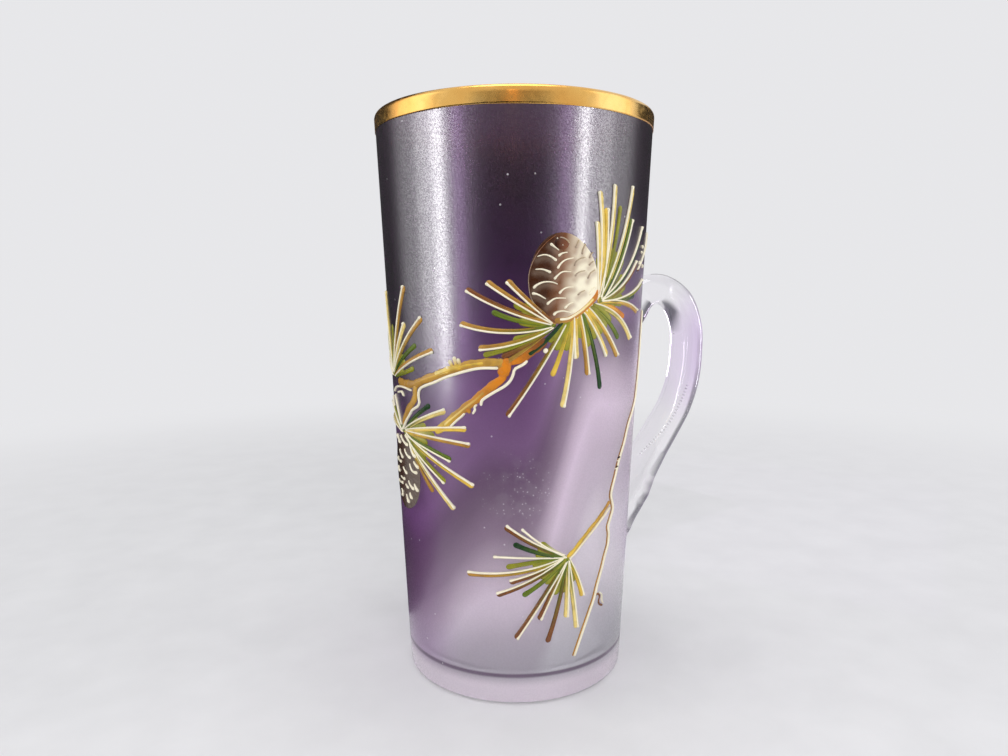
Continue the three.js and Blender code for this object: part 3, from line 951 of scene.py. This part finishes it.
# %% [markdown]
# The boughs are broad ochre and orange strokes, with a knot where they part, small buds along them
# and a cream line under each. A place is again degrees round from the middle of the spray and a
# share of the height. Most of these places, and the cones' scales farther down, were worked out
# by another program, from pixels read off the photograph point by point.

# %% The boughs
BOUGH_WIDTH = 2.0 * MM
BOUGH_RELIEF = 0.32 * MM
TWIG_WIDTH = 0.6 * MM
BOUGH_TO_CONE = [(-2.5, 0.585), (1.5, 0.588), (4, 0.593), (6.5, 0.6), (9, 0.607), (13, 0.62)]
BOUGH = [
    (-4, 0.584), (-8, 0.584), (-12, 0.583), (-16, 0.581), (-20, 0.578), (-24.5, 0.572),
    (-29.5, 0.566), (-35, 0.558), (-40.5, 0.551), (-47.5, 0.541), (-56, 0.539), (-63.5, 0.541),
]
BOUGH_PAINTED_HIGHLIGHT = [(-35, 0.56), (-31, 0.565), (-27.5, 0.57), (-24, 0.574), (-21, 0.577)]
KNOT = [(-2.3, 0.591), (-3.1, 0.582), (-4.1, 0.571), (-4.9, 0.56)]
LOWER_BOUGH = [
    (-4.1, 0.566), (-5.3, 0.557), (-7.8, 0.55), (-12, 0.537), (-16, 0.523), (-20.5, 0.51),
    (-24, 0.499), (-28, 0.487), (-31, 0.477), (-36, 0.464),
]
SIDE_TWIG = [
    (-47, 0.541), (-47.8, 0.529), (-47.8, 0.521), (-49, 0.513), (-51, 0.505), (-54, 0.496),
    (-56, 0.487), (-59, 0.473), (-60.5, 0.462),
]
UPPER_EDGE = [
    (-6.3, 0.575), (-12, 0.575), (-16, 0.573), (-20, 0.569), (-25, 0.563), (-29.5, 0.557),
    (-35, 0.548), (-41, 0.54), (-44, 0.534), (-45, 0.526), (-45, 0.518), (-44.7, 0.511),
    (-46, 0.504), (-48, 0.5), (-50.5, 0.495), (-52.5, 0.487), (-56, 0.475), (-61, 0.456),
]
RIGHT_EDGE = [
    (5.2, 0.587), (3.5, 0.581), (1.6, 0.577), (0, 0.573), (-0.4, 0.566), (-1.1, 0.559),
    (-2.1, 0.553), (-4.1, 0.546), (-8, 0.537), (-12, 0.527), (-13.2, 0.523), (-13.6, 0.518),
    (-13.6, 0.514),
]
CREAM_CURLS = [
    [(-15.3, 0.516), (-16.4, 0.512), (-16.3, 0.507), (-17.4, 0.5)],
    [(-20.8, 0.501), (-22.3, 0.495), (-24, 0.49), (-28, 0.476)],
    [(-70, 0.519), (-65.7, 0.529), (-57.5, 0.532), (-50.2, 0.529)],
    [(-64.2, 0.52), (-59.3, 0.523), (-57.2, 0.516)], [(-69, 0.515), (-65.9, 0.492), (-62, 0.463)],
    [(-75, 0.509), (-73.3, 0.487), (-67.5, 0.468), (-62.3, 0.456)],
]
BUDS = [
    [(-27.3, 0.586), (-25.8, 0.575)], [(-25, 0.592), (-24, 0.576)],
    [(-23.4, 0.589), (-21.9, 0.577)], [(-29, 0.574), (-26.5, 0.571)],
]
LUMPS = [[(-20, 0.511), (-18.5, 0.501)], [(-18, 0.52), (-17.3, 0.514)]]
HANGING_TWIG = [
    (81, 0.66), (79, 0.58), (74, 0.514), (68, 0.485), (62.7, 0.464), (58.7, 0.433), (54.7, 0.407),
    (51.7, 0.378), (49.2, 0.351), (50.3, 0.336), (51.3, 0.322), (49.6, 0.306), (48.1, 0.293),
    (49, 0.28), (48.7, 0.26), (46.7, 0.241), (44.8, 0.219), (42.1, 0.192), (40.5, 0.171),
    (37.5, 0.146), (33.8, 0.114), (29.6, 0.075),
]
FORK = [(48.8, 0.337), (42.5, 0.316), (36.4, 0.298), (30.9, 0.279), (27.2, 0.265), (24.2, 0.256)]
FORK_EDGE = [(49, 0.327), (43.6, 0.312), (37.4, 0.293), (31.8, 0.275), (28, 0.261), (25.3, 0.253)]
HOOK = [(41, 0.173), (42.9, 0.176), (44.7, 0.171), (44.1, 0.161), (45, 0.155), (47.5, 0.15)]
HOOK_EDGE = [(43.9, 0.178), (45.9, 0.172), (46.1, 0.161), (47.6, 0.154)]
DARK_BUDS = [
    [(54.3, 0.412), (54.6, 0.409)], [(52.9, 0.397), (53.3, 0.394)], [(58.1, 0.431), (58.4, 0.427)],
]
CREAM_BUDS = [[(53.4, 0.406), (53.6, 0.404)], [(51.8, 0.393), (52, 0.391)]]
CREAM_DOT = [(11.6, 0.599), (13.2, 0.605)]
BUD_TWIG = [(63, 0.728), (69, 0.747), (75, 0.768), (81, 0.795)]
TWIG_DOTS = [
    [(67.5, 0.772), (68, 0.766)], [(66.8, 0.762), (67, 0.757)], [(64.6, 0.745), (64, 0.738)],
    [(69.6, 0.74), (70, 0.733)],
]


def route(places):
    """The smooth flat curve through places, drawn from the first of them."""
    return spline([between(places[0], other) for other in places], 8 * len(places))


def limb(places, width, colours, relief=BOUGH_RELIEF):
    """A knobbly bough or twig along its places."""
    return stroke(places[0], route(places), width, relief, colours, root=1, blob=0, knobs=0.16)


def edged(places, distance, width, colours, relief, material=0):
    """A plain stroke that keeps the same distance from the places, to the left of their run."""
    path = beside(route(places), distance)
    return stroke(places[0], path, width, relief, colours, 1, 0, material)


def cream_line(places, width=0.8 * LINE_WIDTH):
    """A thin raised line of cream along its places."""
    return edged(places, 0, width, CREAM, LINE_RELIEF, 1)


bough = [
    limb(BOUGH_TO_CONE, BOUGH_WIDTH, ("orange", "brown"), 0.8 * BOUGH_RELIEF),
    limb(BOUGH, BOUGH_WIDTH, ("gold", "ochre")),
    # A painted highlight: a pale patch on the upper bough.
    limb(BOUGH_PAINTED_HIGHLIGHT, 0.8 * BOUGH_WIDTH, ("pale", "yellow"), 1.2 * BOUGH_RELIEF),
    limb(LOWER_BOUGH[:7], BOUGH_WIDTH, ("orange", "ochre")),
    limb(LOWER_BOUGH[5:], BOUGH_WIDTH, ("ochre", "yellow"), 1.05 * BOUGH_RELIEF),
    # Painted highlights: narrow yellow lines along the middle of both boughs.
    limb(BOUGH[2:10], 0.4 * BOUGH_WIDTH, ("yellow", "gold"), 1.2 * BOUGH_RELIEF),
    limb(LOWER_BOUGH[3:9], 0.4 * BOUGH_WIDTH, ("gold", "pale"), 1.2 * BOUGH_RELIEF),
    limb(KNOT, 1.35 * BOUGH_WIDTH, ("orange", "orange"), 1.25 * BOUGH_RELIEF),
    limb(SIDE_TWIG, 0.95 * BOUGH_WIDTH, ("gold", "ochre")),
    *[limb(places, 0.9 * MM, ("cream", "yellow"), 1.2 * BOUGH_RELIEF) for places in BUDS],
    *[limb(places, 1.2 * MM, ("orange", "ochre")) for places in LUMPS],
    *[cream_line(places, 1.25 * LINE_WIDTH) for places in (UPPER_EDGE, RIGHT_EDGE)],
    *[cream_line(places, LINE_WIDTH) for places in CREAM_CURLS],
    cream_line(CREAM_DOT, 2 * LINE_WIDTH),
]
piece = skin_mesh("pine_bough_painted", bough, ENAMELS)
on_the_glass(piece, "bark_enamel", "pine_bough", "bough_edge_upper", "bough_edge_lower")

twigs = [
    edged(HANGING_TWIG, -0.6 * TWIG_WIDTH, TWIG_WIDTH, ("brown", "ochre"), 0.15 * MM),
    edged(HANGING_TWIG, 0, 1.1 * TWIG_WIDTH, CREAM, 0.5 * MM, 1),
    limb(FORK, 1.7 * TWIG_WIDTH, ("ochre", "yellow")),
    cream_line(FORK_EDGE),
    limb(HOOK, TWIG_WIDTH, ("brown", "brown"), 0.2 * MM),
    cream_line(HOOK_EDGE, 0.7 * LINE_WIDTH),
    *[limb(places, 0.9 * MM, ("bark", "bark"), LINE_RELIEF) for places in DARK_BUDS],
    *[cream_line(places) for places in CREAM_BUDS],
]
on_the_glass(skin_mesh("hanging_twig_painted", twigs, ENAMELS), "bark_enamel", "hanging_twig")
twigs = [
    limb(BUD_TWIG, 1.3 * TWIG_WIDTH, ("brown", "brown")),
    edged(BUD_TWIG, 0.6 * TWIG_WIDTH, 0.8 * TWIG_WIDTH, CREAM, LINE_RELIEF, 1),
    *[cream_line(places, 0.9 * LINE_WIDTH) for places in TWIG_DOTS],
]
on_the_glass(skin_mesh("bud_twig_painted", twigs, ENAMELS), "bark_enamel", "bud_twig")

# %% [markdown]
# A cone is an egg-shaped pad of enamel, a low dome, dark on one side and cream on the other. On
# the front cone the cream side is partly its own paint and partly a painted highlight of a strip
# lamp.
# Its scales are raised cream arcs. Under each arc the dark side is wiped lighter and the cream
# side is shaded brown, so the colour of a point depends on how far it lies below the nearest arc,
# worked out for all points and arcs in one step.

# %% The cones
CONE_WIDTH = 16.6 * MM
CONE_LENGTH = 19.4 * MM
CONE_RELIEF = 0.36 * MM
SCALE_RELIEF = CONE_RELIEF + 0.24 * MM
# Arcs in millimetres round and up from the middle of the cone. The thick end comes last.
FRONT_SCALES = [
    [(-1.6, 5.7), (-3.7, 7.2)], [(-6.5, 4.4), (-5, 4.8), (-3.6, 4.5), (-2.1, 3.5)],
    [(-6.9, 1.7), (-5.2, 1.7), (-3.3, 1)],
    [(-1.7, -1.5), (-3.2, -1), (-4.9, -1), (-6.4, -1.6), (-7.2, -2.4)],
    [(-4.3, -4.7), (-6.1, -3.7), (-7.5, -3.4)],
    [(0.3, -4.5), (-2.1, -4.5), (-3.3, -5.1), (-4.2, -5.9)],
    [(1.7, -7.8), (-0.2, -7.3), (-1.8, -7.5), (-2.7, -8.2)],
    [(2, -5.4), (0.8, -5.9), (-0.2, -6.8)], [(2.1, -2.1), (0.3, -2.2), (-0.8, -2.8), (-1.5, -3.6)],
    [(1.4, 1.2), (-0.7, 1.2), (-1.9, 0.4), (-2.7, -0.5)],
    [(1.9, 4.2), (0, 3.8), (-1.2, 3), (-2, 1.8)], [(0.4, 5.4), (-1, 5.1), (-1.9, 4.5)],
    [(4.8, 4.4), (3.5, 4.1), (2.4, 3.4), (1.9, 2.4)], [(3, 8.1), (2.5, 7.1), (2.1, 6.2)],
    [(4.7, 7.3), (4, 6.1), (3.8, 4.9)], [(6.7, 5.5), (6, 4.8), (5.7, 4.1)],
    [(6.9, 3.6), (5.6, 2.6)], [(7.4, 1.7), (6.1, 0.9), (5.4, -0.3)],
    [(4.8, 1.5), (3.1, 1.1), (2.1, 0.2)], [(4.9, -2.8), (3.8, -3.2), (2.9, -3.9)],
]
BRIGHT_FRONT_SCALE = [(7.7, -2.1), (6.7, -2.7), (6, -3.9)]
SIDE_SCALES = [
    [(-0.4, 9), (0.6, 8), (2.4, 7.2), (3.8, 7)], [(-4.2, 8.6), (-2.6, 7.6), (-0.9, 6.7)],
    [(4.8, 8), (5.2, 6.5), (6, 5.2), (7.3, 4.6)], [(1.7, 6), (2.3, 5), (3.4, 4.3), (4.9, 4)],
    [(-1.9, 5.3), (-1.1, 4.1), (0.6, 3.2)], [(6, 3.6), (6.9, 2.7), (8.2, 2.1)],
    [(4.1, 2.7), (4.6, 1.6), (5.5, 0.8), (7.4, 0.8)], [(-0.1, 1.1), (1, 0.3), (2.5, -0.4)],
    [(-4.5, 2.9), (-3.7, 2), (-0.9, 2)], [(-5, 0.4), (-3.8, -0.6), (-2.9, -0.8)],
    [(-2.5, -1.8), (-1.1, -2.1), (0.9, -2)], [(3, -1.7), (3.5, -2.7), (4.7, -3.4), (5.7, -3.5)],
    [(5.7, -2), (6.4, -3), (7.2, -3.9)], [(0.9, -3.1), (2.2, -3.7), (2.9, -3.9)],
    [(-4.7, -3), (-4.2, -3.7), (-0.6, -3.3)], [(1.1, -5.6), (1.7, -6.8), (2.5, -7.8)],
    [(3.2, -4.7), (3.6, -5.7), (4.4, -6.3)], [(-2.7, -5.1), (-1.7, -5.7), (-2.2, -7.2)],
]
CREAM_SIDE = 2.9
CONE_TAPER = 0.12
COLOUR_SLANT = 0.12
MIDDLE_SHARE = 0.57
PAD_RINGS = 36
PAD_SIDES = 96


def cone_pad(place, lean, scales, across_colours, wiping):
    """The pad as rings round its middle, narrower towards the top, and coloured by its arcs.

    Across the pad, share runs from 0 on the left to 1 on the right. The left colour turns to the
    middle one where 4 * share passes from 1.3 to 2.3, and to the right one from 2 to 3."""
    tilt = math.radians(lean)
    rise = np.linspace(0.1, math.pi / 2 - 0.05, PAD_RINGS)
    size = np.concatenate([[1.0], np.cos(rise)])[:, None]
    high = np.concatenate([[0.0], np.sin(rise) ** 0.5])[:, None]
    round_ = np.linspace(0, 2 * np.pi, PAD_SIDES, endpoint=False)
    y = size * np.sin(round_)
    x = size * np.cos(round_) * (1 - CONE_TAPER * y) * CONE_WIDTH / 2
    y = y * CONE_LENGTH / 2
    x, y = x * math.cos(tilt) - y * math.sin(tilt), x * math.sin(tilt) + y * math.cos(tilt)
    lift = -SUNK + (CONE_RELIEF + SUNK) * high + 0 * round_

    marks = np.concatenate([spline(MM * np.array(points), 12) for points in scales])
    away = (x[..., None] - marks[:, 0]) / (0.8 * MM)
    below = (marks[:, 1] - y[..., None]) / MM - 0.7
    wiped = np.exp(-(away**2) - (below / 0.75) ** 2).max(-1)[..., None]

    names = (*across_colours, "tan", "russet")
    left, middle, right, tan, russet = (np.array(PAINTS[name]) for name in names)
    share = np.clip(MIDDLE_SHARE + (x - COLOUR_SLANT * y) / CONE_WIDTH, 0, 1)[..., None]
    first = np.clip(4 * share - 1.3, 0, 1)
    second = np.clip(4 * share - 2.0, 0, 1)
    ground = blend(blend(left, middle, first), right, second)
    under_arc = blend(blend(tan, russet, first), right, 0.5 * second)
    wiped = wiped * wiping * (0.3 + 0.7 * first)
    return on_wall(place, x, y, lift), 1, blend(ground, under_arc, wiped)


def cone_marks(place, scales, width, cream_from=math.inf):
    """The raised arcs of a cone, each thicker towards its last point.

    Those on the cream side of the cone are darker, or they wouldn't show."""
    strokes = []
    for points in scales:
        dark = points[0][0] > cream_from
        colours = ("sand", "tan") if dark else CREAM
        wide = 0.7 * width if dark else width
        curve = spline(MM * np.array(points), 24)
        strokes.append(stroke(place, curve, wide, SCALE_RELIEF, colours, 0.45, 0.2, 1))
    return strokes


FRONT_CONE = (19.8, 0.716)
# Knob: its dark left is partly painted shade, and the arc and glints over it are painted
# highlights.
KNOB = MM * np.array([(-3, 7.2), (-1.7, 7.2), (-0.4, 7.1), (0.9, 6.9)])
KNOB_PAINTED_HIGHLIGHT = MM * np.array([(-1.6, 8.5), (-0.8, 8.4), (0, 8), (0.7, 7.3)])
KNOB_PAINTED_GLINTS = MM * np.array([[(-1.05, 6.95), (-0.75, 6.85)], [(-2.25, 8.35), (-1.95, 8.25)]])
CONE_BASE = [
    (-2.4, -9.4), (0.7, -9.2), (2.5, -8.4), (3.9, -7.6), (5, -6.8), (6.7, -5.4), (8.3, -3.8),
    (9, -2.4),
]
CONE_RIM = [
    (-5.2, -7.5), (-7.5, -4.7), (-8.2, -1), (-7.9, 1.8), (-6.7, 4.6), (-4.6, 7.3), (-2.4, 9),
]
base = spline(MM * np.array(CONE_BASE))
front = [
    # The cream on the right of the front cone is partly its own paint and partly a painted
    # highlight.
    cone_pad(FRONT_CONE, 12, FRONT_SCALES, ("umber", "brown", "cream"), 0.85),
    *cone_marks(FRONT_CONE, FRONT_SCALES, 0.62 * MM, CREAM_SIDE),
    *cone_marks(FRONT_CONE, [BRIGHT_FRONT_SCALE], 0.62 * MM),
]
# Each row: curve, width and relief in millimetres, colours, number of the enamel.
for curve, width, relief, colours, enamel_number in [
    (KNOB, 3.3, 0.5, ("bark", "russet"), 0),
    # Painted highlights over the knob.
    (spline(KNOB_PAINTED_HIGHLIGHT), 0.4, 0.55, ("tan", "sand"), 1),
    (KNOB_PAINTED_GLINTS[0], 0.4, 0.62, CREAM, 1),
    (KNOB_PAINTED_GLINTS[1], 0.4, 0.62, CREAM, 1),
    (base, 1.5, 0.42, ("ochre", "orange"), 0),
    (beside(base, 0.2 * MM)[3:-8], 0.75, 0.55, ("cream", "pale"), 1),
    (spline(MM * np.array(CONE_RIM)), 0.22, 0.3, ("tan", "brown"), 1),
]:
    sizes = width * MM, relief * MM
    front.append(stroke(FRONT_CONE, curve, *sizes, colours, 1, 0, enamel_number))
on_the_glass(skin_mesh("cone_front_painted", front, ENAMELS), "cone_enamel", "cone_front")

SIDE_CONE = (-62.7, 0.381)
left = [cone_pad(SIDE_CONE, -20, SIDE_SCALES, ("bark", "umber", "ash"), 0.15)]
left += cone_marks(SIDE_CONE, SIDE_SCALES, 0.9 * MM)
on_the_glass(skin_mesh("cone_side_painted", left, ENAMELS), "cone_enamel", "cone_side")

# %% [markdown]
# The glass stands on a pale floor that fades into a pale surround, so no horizon shows. The floor
# lies a hair under the ground foot, because two faces in one plane would leave no air between, and
# the light in the foot would be lost.

# %% The floor
SURROUND = (0.80, 0.80, 0.82, 1)
FLOOR_REACH = 6.0
FLOOR_DROP = 0.15 * MM
FADE_FROM, FADE_TO = 0.12, 0.5
FLOOR_GREYS = [(0.3, (0.74, 0.74, 0.75)), (0.7, (0.78, 0.78, 0.79))]
SQUARE = np.array([(-1, -1, 0), (1, -1, 0), (1, 1, 0), (-1, 1, 0)])


def seen_rays(tree):
    """1 for rays from the camera, from gloss and through glass, 0 for the light that spreads."""
    path = tree.nodes.new("ShaderNodeLightPath").outputs
    seen = larger(path["Is Camera Ray"], path["Is Glossy Ray"])
    return larger(seen, path["Is Transmission Ray"])


def floor_material():
    """Pale matt grey near the glass, which turns to the glow of the surround farther off."""
    material, shader, place = new_material("pale_floor")
    feed_all(shader, Base_Color=ramp(noise(place, 60.0, 4.0), FLOOR_GREYS), Roughness=0.7)
    share = times(map_range(distance(place), FADE_FROM, FADE_TO), seen_rays(place.id_data))
    glow = add_node(place, "Emission", Color=SURROUND, Strength=1.0)
    mixed = add_node(place, "MixShader", share, shader.outputs[0], glow.outputs[0])
    feed(material.node_tree.nodes["Material Output"].inputs["Surface"], mixed.outputs[0])
    return material


corners = FLOOR_REACH * SQUARE - (0, 0, FLOOR_DROP)
floor = mesh_object("floor", corners, [(0, 1, 2, 3)], [floor_material()])
print("floor at", -FLOOR_DROP)

# %% [markdown]
# A satin glass shows what stands round it. Two tall strip lamps beside the camera give the two
# silver bands, and a wide dim panel outside each lets the silver fall off slowly towards the
# outline. They are linked to the blown glass alone, since gold and clear glass would burn out, and
# two thin strips light the handle alone. Black boards, as photographers use for glass, keep the
# middle and the edges dark. Only reflections see the board behind the camera, and the two that
# glass looks through fade out to the pale surround at their edges. The camera sees neither board
# nor lamp. Three lilac cards stand where the handle and the outline would otherwise mirror black,
# and a white card under the foot stands for the light that gathers in thick glass.

# %% The light
SPREAD_STRENGTH = 0.75
FELT_IN_GLOSS = (0.035, 0.035, 0.037, 1)
FELT_THROUGH_GLASS = (0.13, 0.13, 0.15, 1)
JUST_BELOW = -0.1 * MM
CARD_SIDES = 96
CARD_INSET = 0.5 * MM
GLOW = (0.70, 0.36, 0.86)
AMBER = (1.0, 0.55, 0.22)
PANEL = (0.34, 0.58)

world = bpy.data.worlds.new("surround")
bpy.context.scene.world = world
world.use_nodes = True
background = world.node_tree.nodes["Background"]
strength = map_range(seen_rays(world.node_tree), 0, 1, SPREAD_STRENGTH, 1.0)
feed_all(background, Color=SURROUND, Strength=strength)


def face_glass(made, bearing, distance, height):
    """Stands an object at degrees left of the camera and turns its face to the glass."""
    spot = Vector(round_axis(distance, CAMERA_BEARING - math.radians(bearing), height))
    made.location = spot
    made.rotation_mode = "QUATERNION"
    made.rotation_quaternion = Vector((-spot.x, -spot.y, 0)).to_track_quat("-Z", "Y")
    made.visible_camera = False


def lamp(name, bearing, distance, height, size, radiance, colour=(1, 1, 1), lit=(), spreads=False):
    """A soft rectangle. Its power is pi times its radiance times its area.

    It reaches only the lit pieces where any are named. A lamp so near that it would burn the
    floor doesn't spread, and only gloss and glass see it."""
    data = bpy.data.lights.new(name, "AREA")
    data.shape = "RECTANGLE"
    data.size, data.size_y = size
    data.energy = math.pi * radiance * size[0] * size[1]
    data.color = colour
    made = linked(name, data)
    face_glass(made, bearing, distance, height)
    made.visible_diffuse = spreads
    if lit:
        reach = bpy.data.collections.new(name + "_reach")
        for piece in lit:
            reach.objects.link(piece)
        made.light_linking.receiver_collection = reach
    return made


def black_felt():
    """Nearly black in reflections. Through glass it is a mild grey that fades out to the edge."""
    material, shader, place = new_material("black_felt")
    fluff = ramp(noise(place, 300.0), [(0.3, (0, 0, 0)), (0.7, (0.012, 0.012, 0.012))])
    path = add_node(place, "LightPath").outputs
    through = math_node("MINIMUM", path["Transmission Depth"], 1.0)
    across, up, _ = parts_of(add_node(place, "TexCoord").outputs["Generated"])
    off_middle = [math_node("ABSOLUTE", minus(share, 0.5)) for share in (across, up)]
    to_edge = map_range(larger(*off_middle), 0.22, 0.5)
    grey = mix_colours(to_edge, FELT_THROUGH_GLASS, SURROUND)
    feed_all(
        shader,
        Base_Color=fluff,
        Roughness=1.0,
        Specular_IOR_Level=0.0,
        Emission_Color=mix_colours(through, FELT_IN_GLOSS, grey),
        Emission_Strength=1.0,
    )
    return material


def glowing_card(name, darker, lighter):
    """Black but for its own light, in two soft shades."""
    material, shader, place = new_material(name)
    shade = ramp(noise(place, 30.0), [(0.3, darker), (0.7, lighter)])
    feed_all(shader, Base_Color=(0, 0, 0, 1), Emission_Color=shade, Emission_Strength=1.0)
    return material


BLACK_FELT = black_felt()
LILAC_CARD = glowing_card("lilac_card", (0.46, 0.40, 0.52), (0.54, 0.48, 0.60))
WHITE_CARD = glowing_card("white_card", (0.94, 0.90, 0.95), (1.0, 0.96, 1.0))


def board(name, bearing, distance, height, size, through_glass=False, material=BLACK_FELT):
    """A board that only reflections see, and where told also the sight through glass."""
    points = SQUARE * (size[0] / 2, size[1] / 2, 0)
    made = mesh_object(name, points, [(0, 1, 2, 3)], [material])
    face_glass(made, bearing, distance, height)
    made.visible_diffuse = made.visible_shadow = False
    made.visible_transmission = through_glass
    return made


def lying_board(name, bearing, distance, size, material=BLACK_FELT):
    """A board flat on the floor, for the gloss of the low part of the wall."""
    made = board(name, bearing, distance, JUST_BELOW, size, False, material)
    turn = CAMERA_BEARING - math.radians(bearing) + math.pi / 2
    made.rotation_quaternion = Quaternion((0, 0, 1), turn)


def card_under_foot():
    """A white disc that only the sight through the glass meets, for the light in the foot."""
    round_ = np.linspace(0, 2 * np.pi, CARD_SIDES, endpoint=False)
    rim = round_axis(FOOT_RADIUS - CARD_INSET, round_, JUST_BELOW)
    made = mesh_object("foot_card", rim, [tuple(range(CARD_SIDES))], [WHITE_CARD])
    made.visible_camera = made.visible_diffuse = False
    made.visible_glossy = made.visible_shadow = False


# Each row: name, degrees left of the camera, distance, height, size, radiance, colour.
for row in [
    ("left_strip", 58, 0.22, 0.165, (0.038, 0.25), 18),
    ("left_strip_low", 58, 0.22, 0.062, (0.034, 0.045), 11),
    ("left_shoulder", 73, 0.30, 0.20, (0.09, 0.34), 4.4),
    ("right_strip", -53, 0.22, 0.185, (0.032, 0.22), 20),
    ("right_shoulder", -72, 0.30, 0.22, (0.09, 0.30), 3.2),
    ("left_glow", 42, 0.24, 0.165, (0.034, 0.25), 4.5, GLOW),
    ("right_glow", -39, 0.24, 0.165, (0.040, 0.25), 3.2, GLOW),
    ("left_side", 84, 0.5, 0.30, PANEL, 1.0),
    ("right_side", -84, 0.5, 0.30, PANEL, 1.0),
]:
    lamp(*row, lit=[glass])
lamp("handle_strip", -112, 0.25, 0.10, (0.03, 0.16), 8, lit=[handle])
lamp("handle_strip_front", 14, 0.30, 0.12, (0.014, 0.14), 9, lit=[handle])
lamp("left_panel", 84, 0.5, 0.30, PANEL, 0.9, spreads=True)
lamp("right_panel", -84, 0.5, 0.30, PANEL, 0.65, spreads=True)
lamp("amber_card", 1, 0.40, 0.205, (0.05, 0.03), 1.6, AMBER)
fill = lamp("front_fill", -8, 0.5, 0.34, (0.4, 0.3), 3.0, spreads=True)
fill.visible_glossy = fill.visible_transmission = False
top = bpy.data.lights.new("top_lamp", "AREA")
top.shape = "DISK"
top.size = 0.5
top.energy = 2.0
top_lamp = linked("top_lamp", top)
top_lamp.location = (0, 0, 0.9)
top_lamp.visible_camera = False
# The boards follow the same order, and then say whether the sight through glass meets them.
board("front_board", 1, 0.42, 0.10, (0.46, 0.20))
board("left_board", 138, 0.42, 0.30, (0.44, 0.62), True)
board("right_board", -138, 0.42, 0.19, (0.44, 0.24), True)
board("handle_card", -138, 0.40, 0.05, (0.42, 0.12), material=LILAC_CARD)
board("flag_card", -170, 0.062, 0.055, (0.044, 0.13), material=LILAC_CARD)
lying_board("lying_right", -150, 0.17, (0.20, 0.18), LILAC_CARD)
lying_board("lying_front", 25, 0.25, (0.50, 0.30))
lying_board("lying_left", 140, 0.22, (0.34, 0.36))
card_under_foot()
bpy.context.scene.view_settings.view_transform = "Standard"
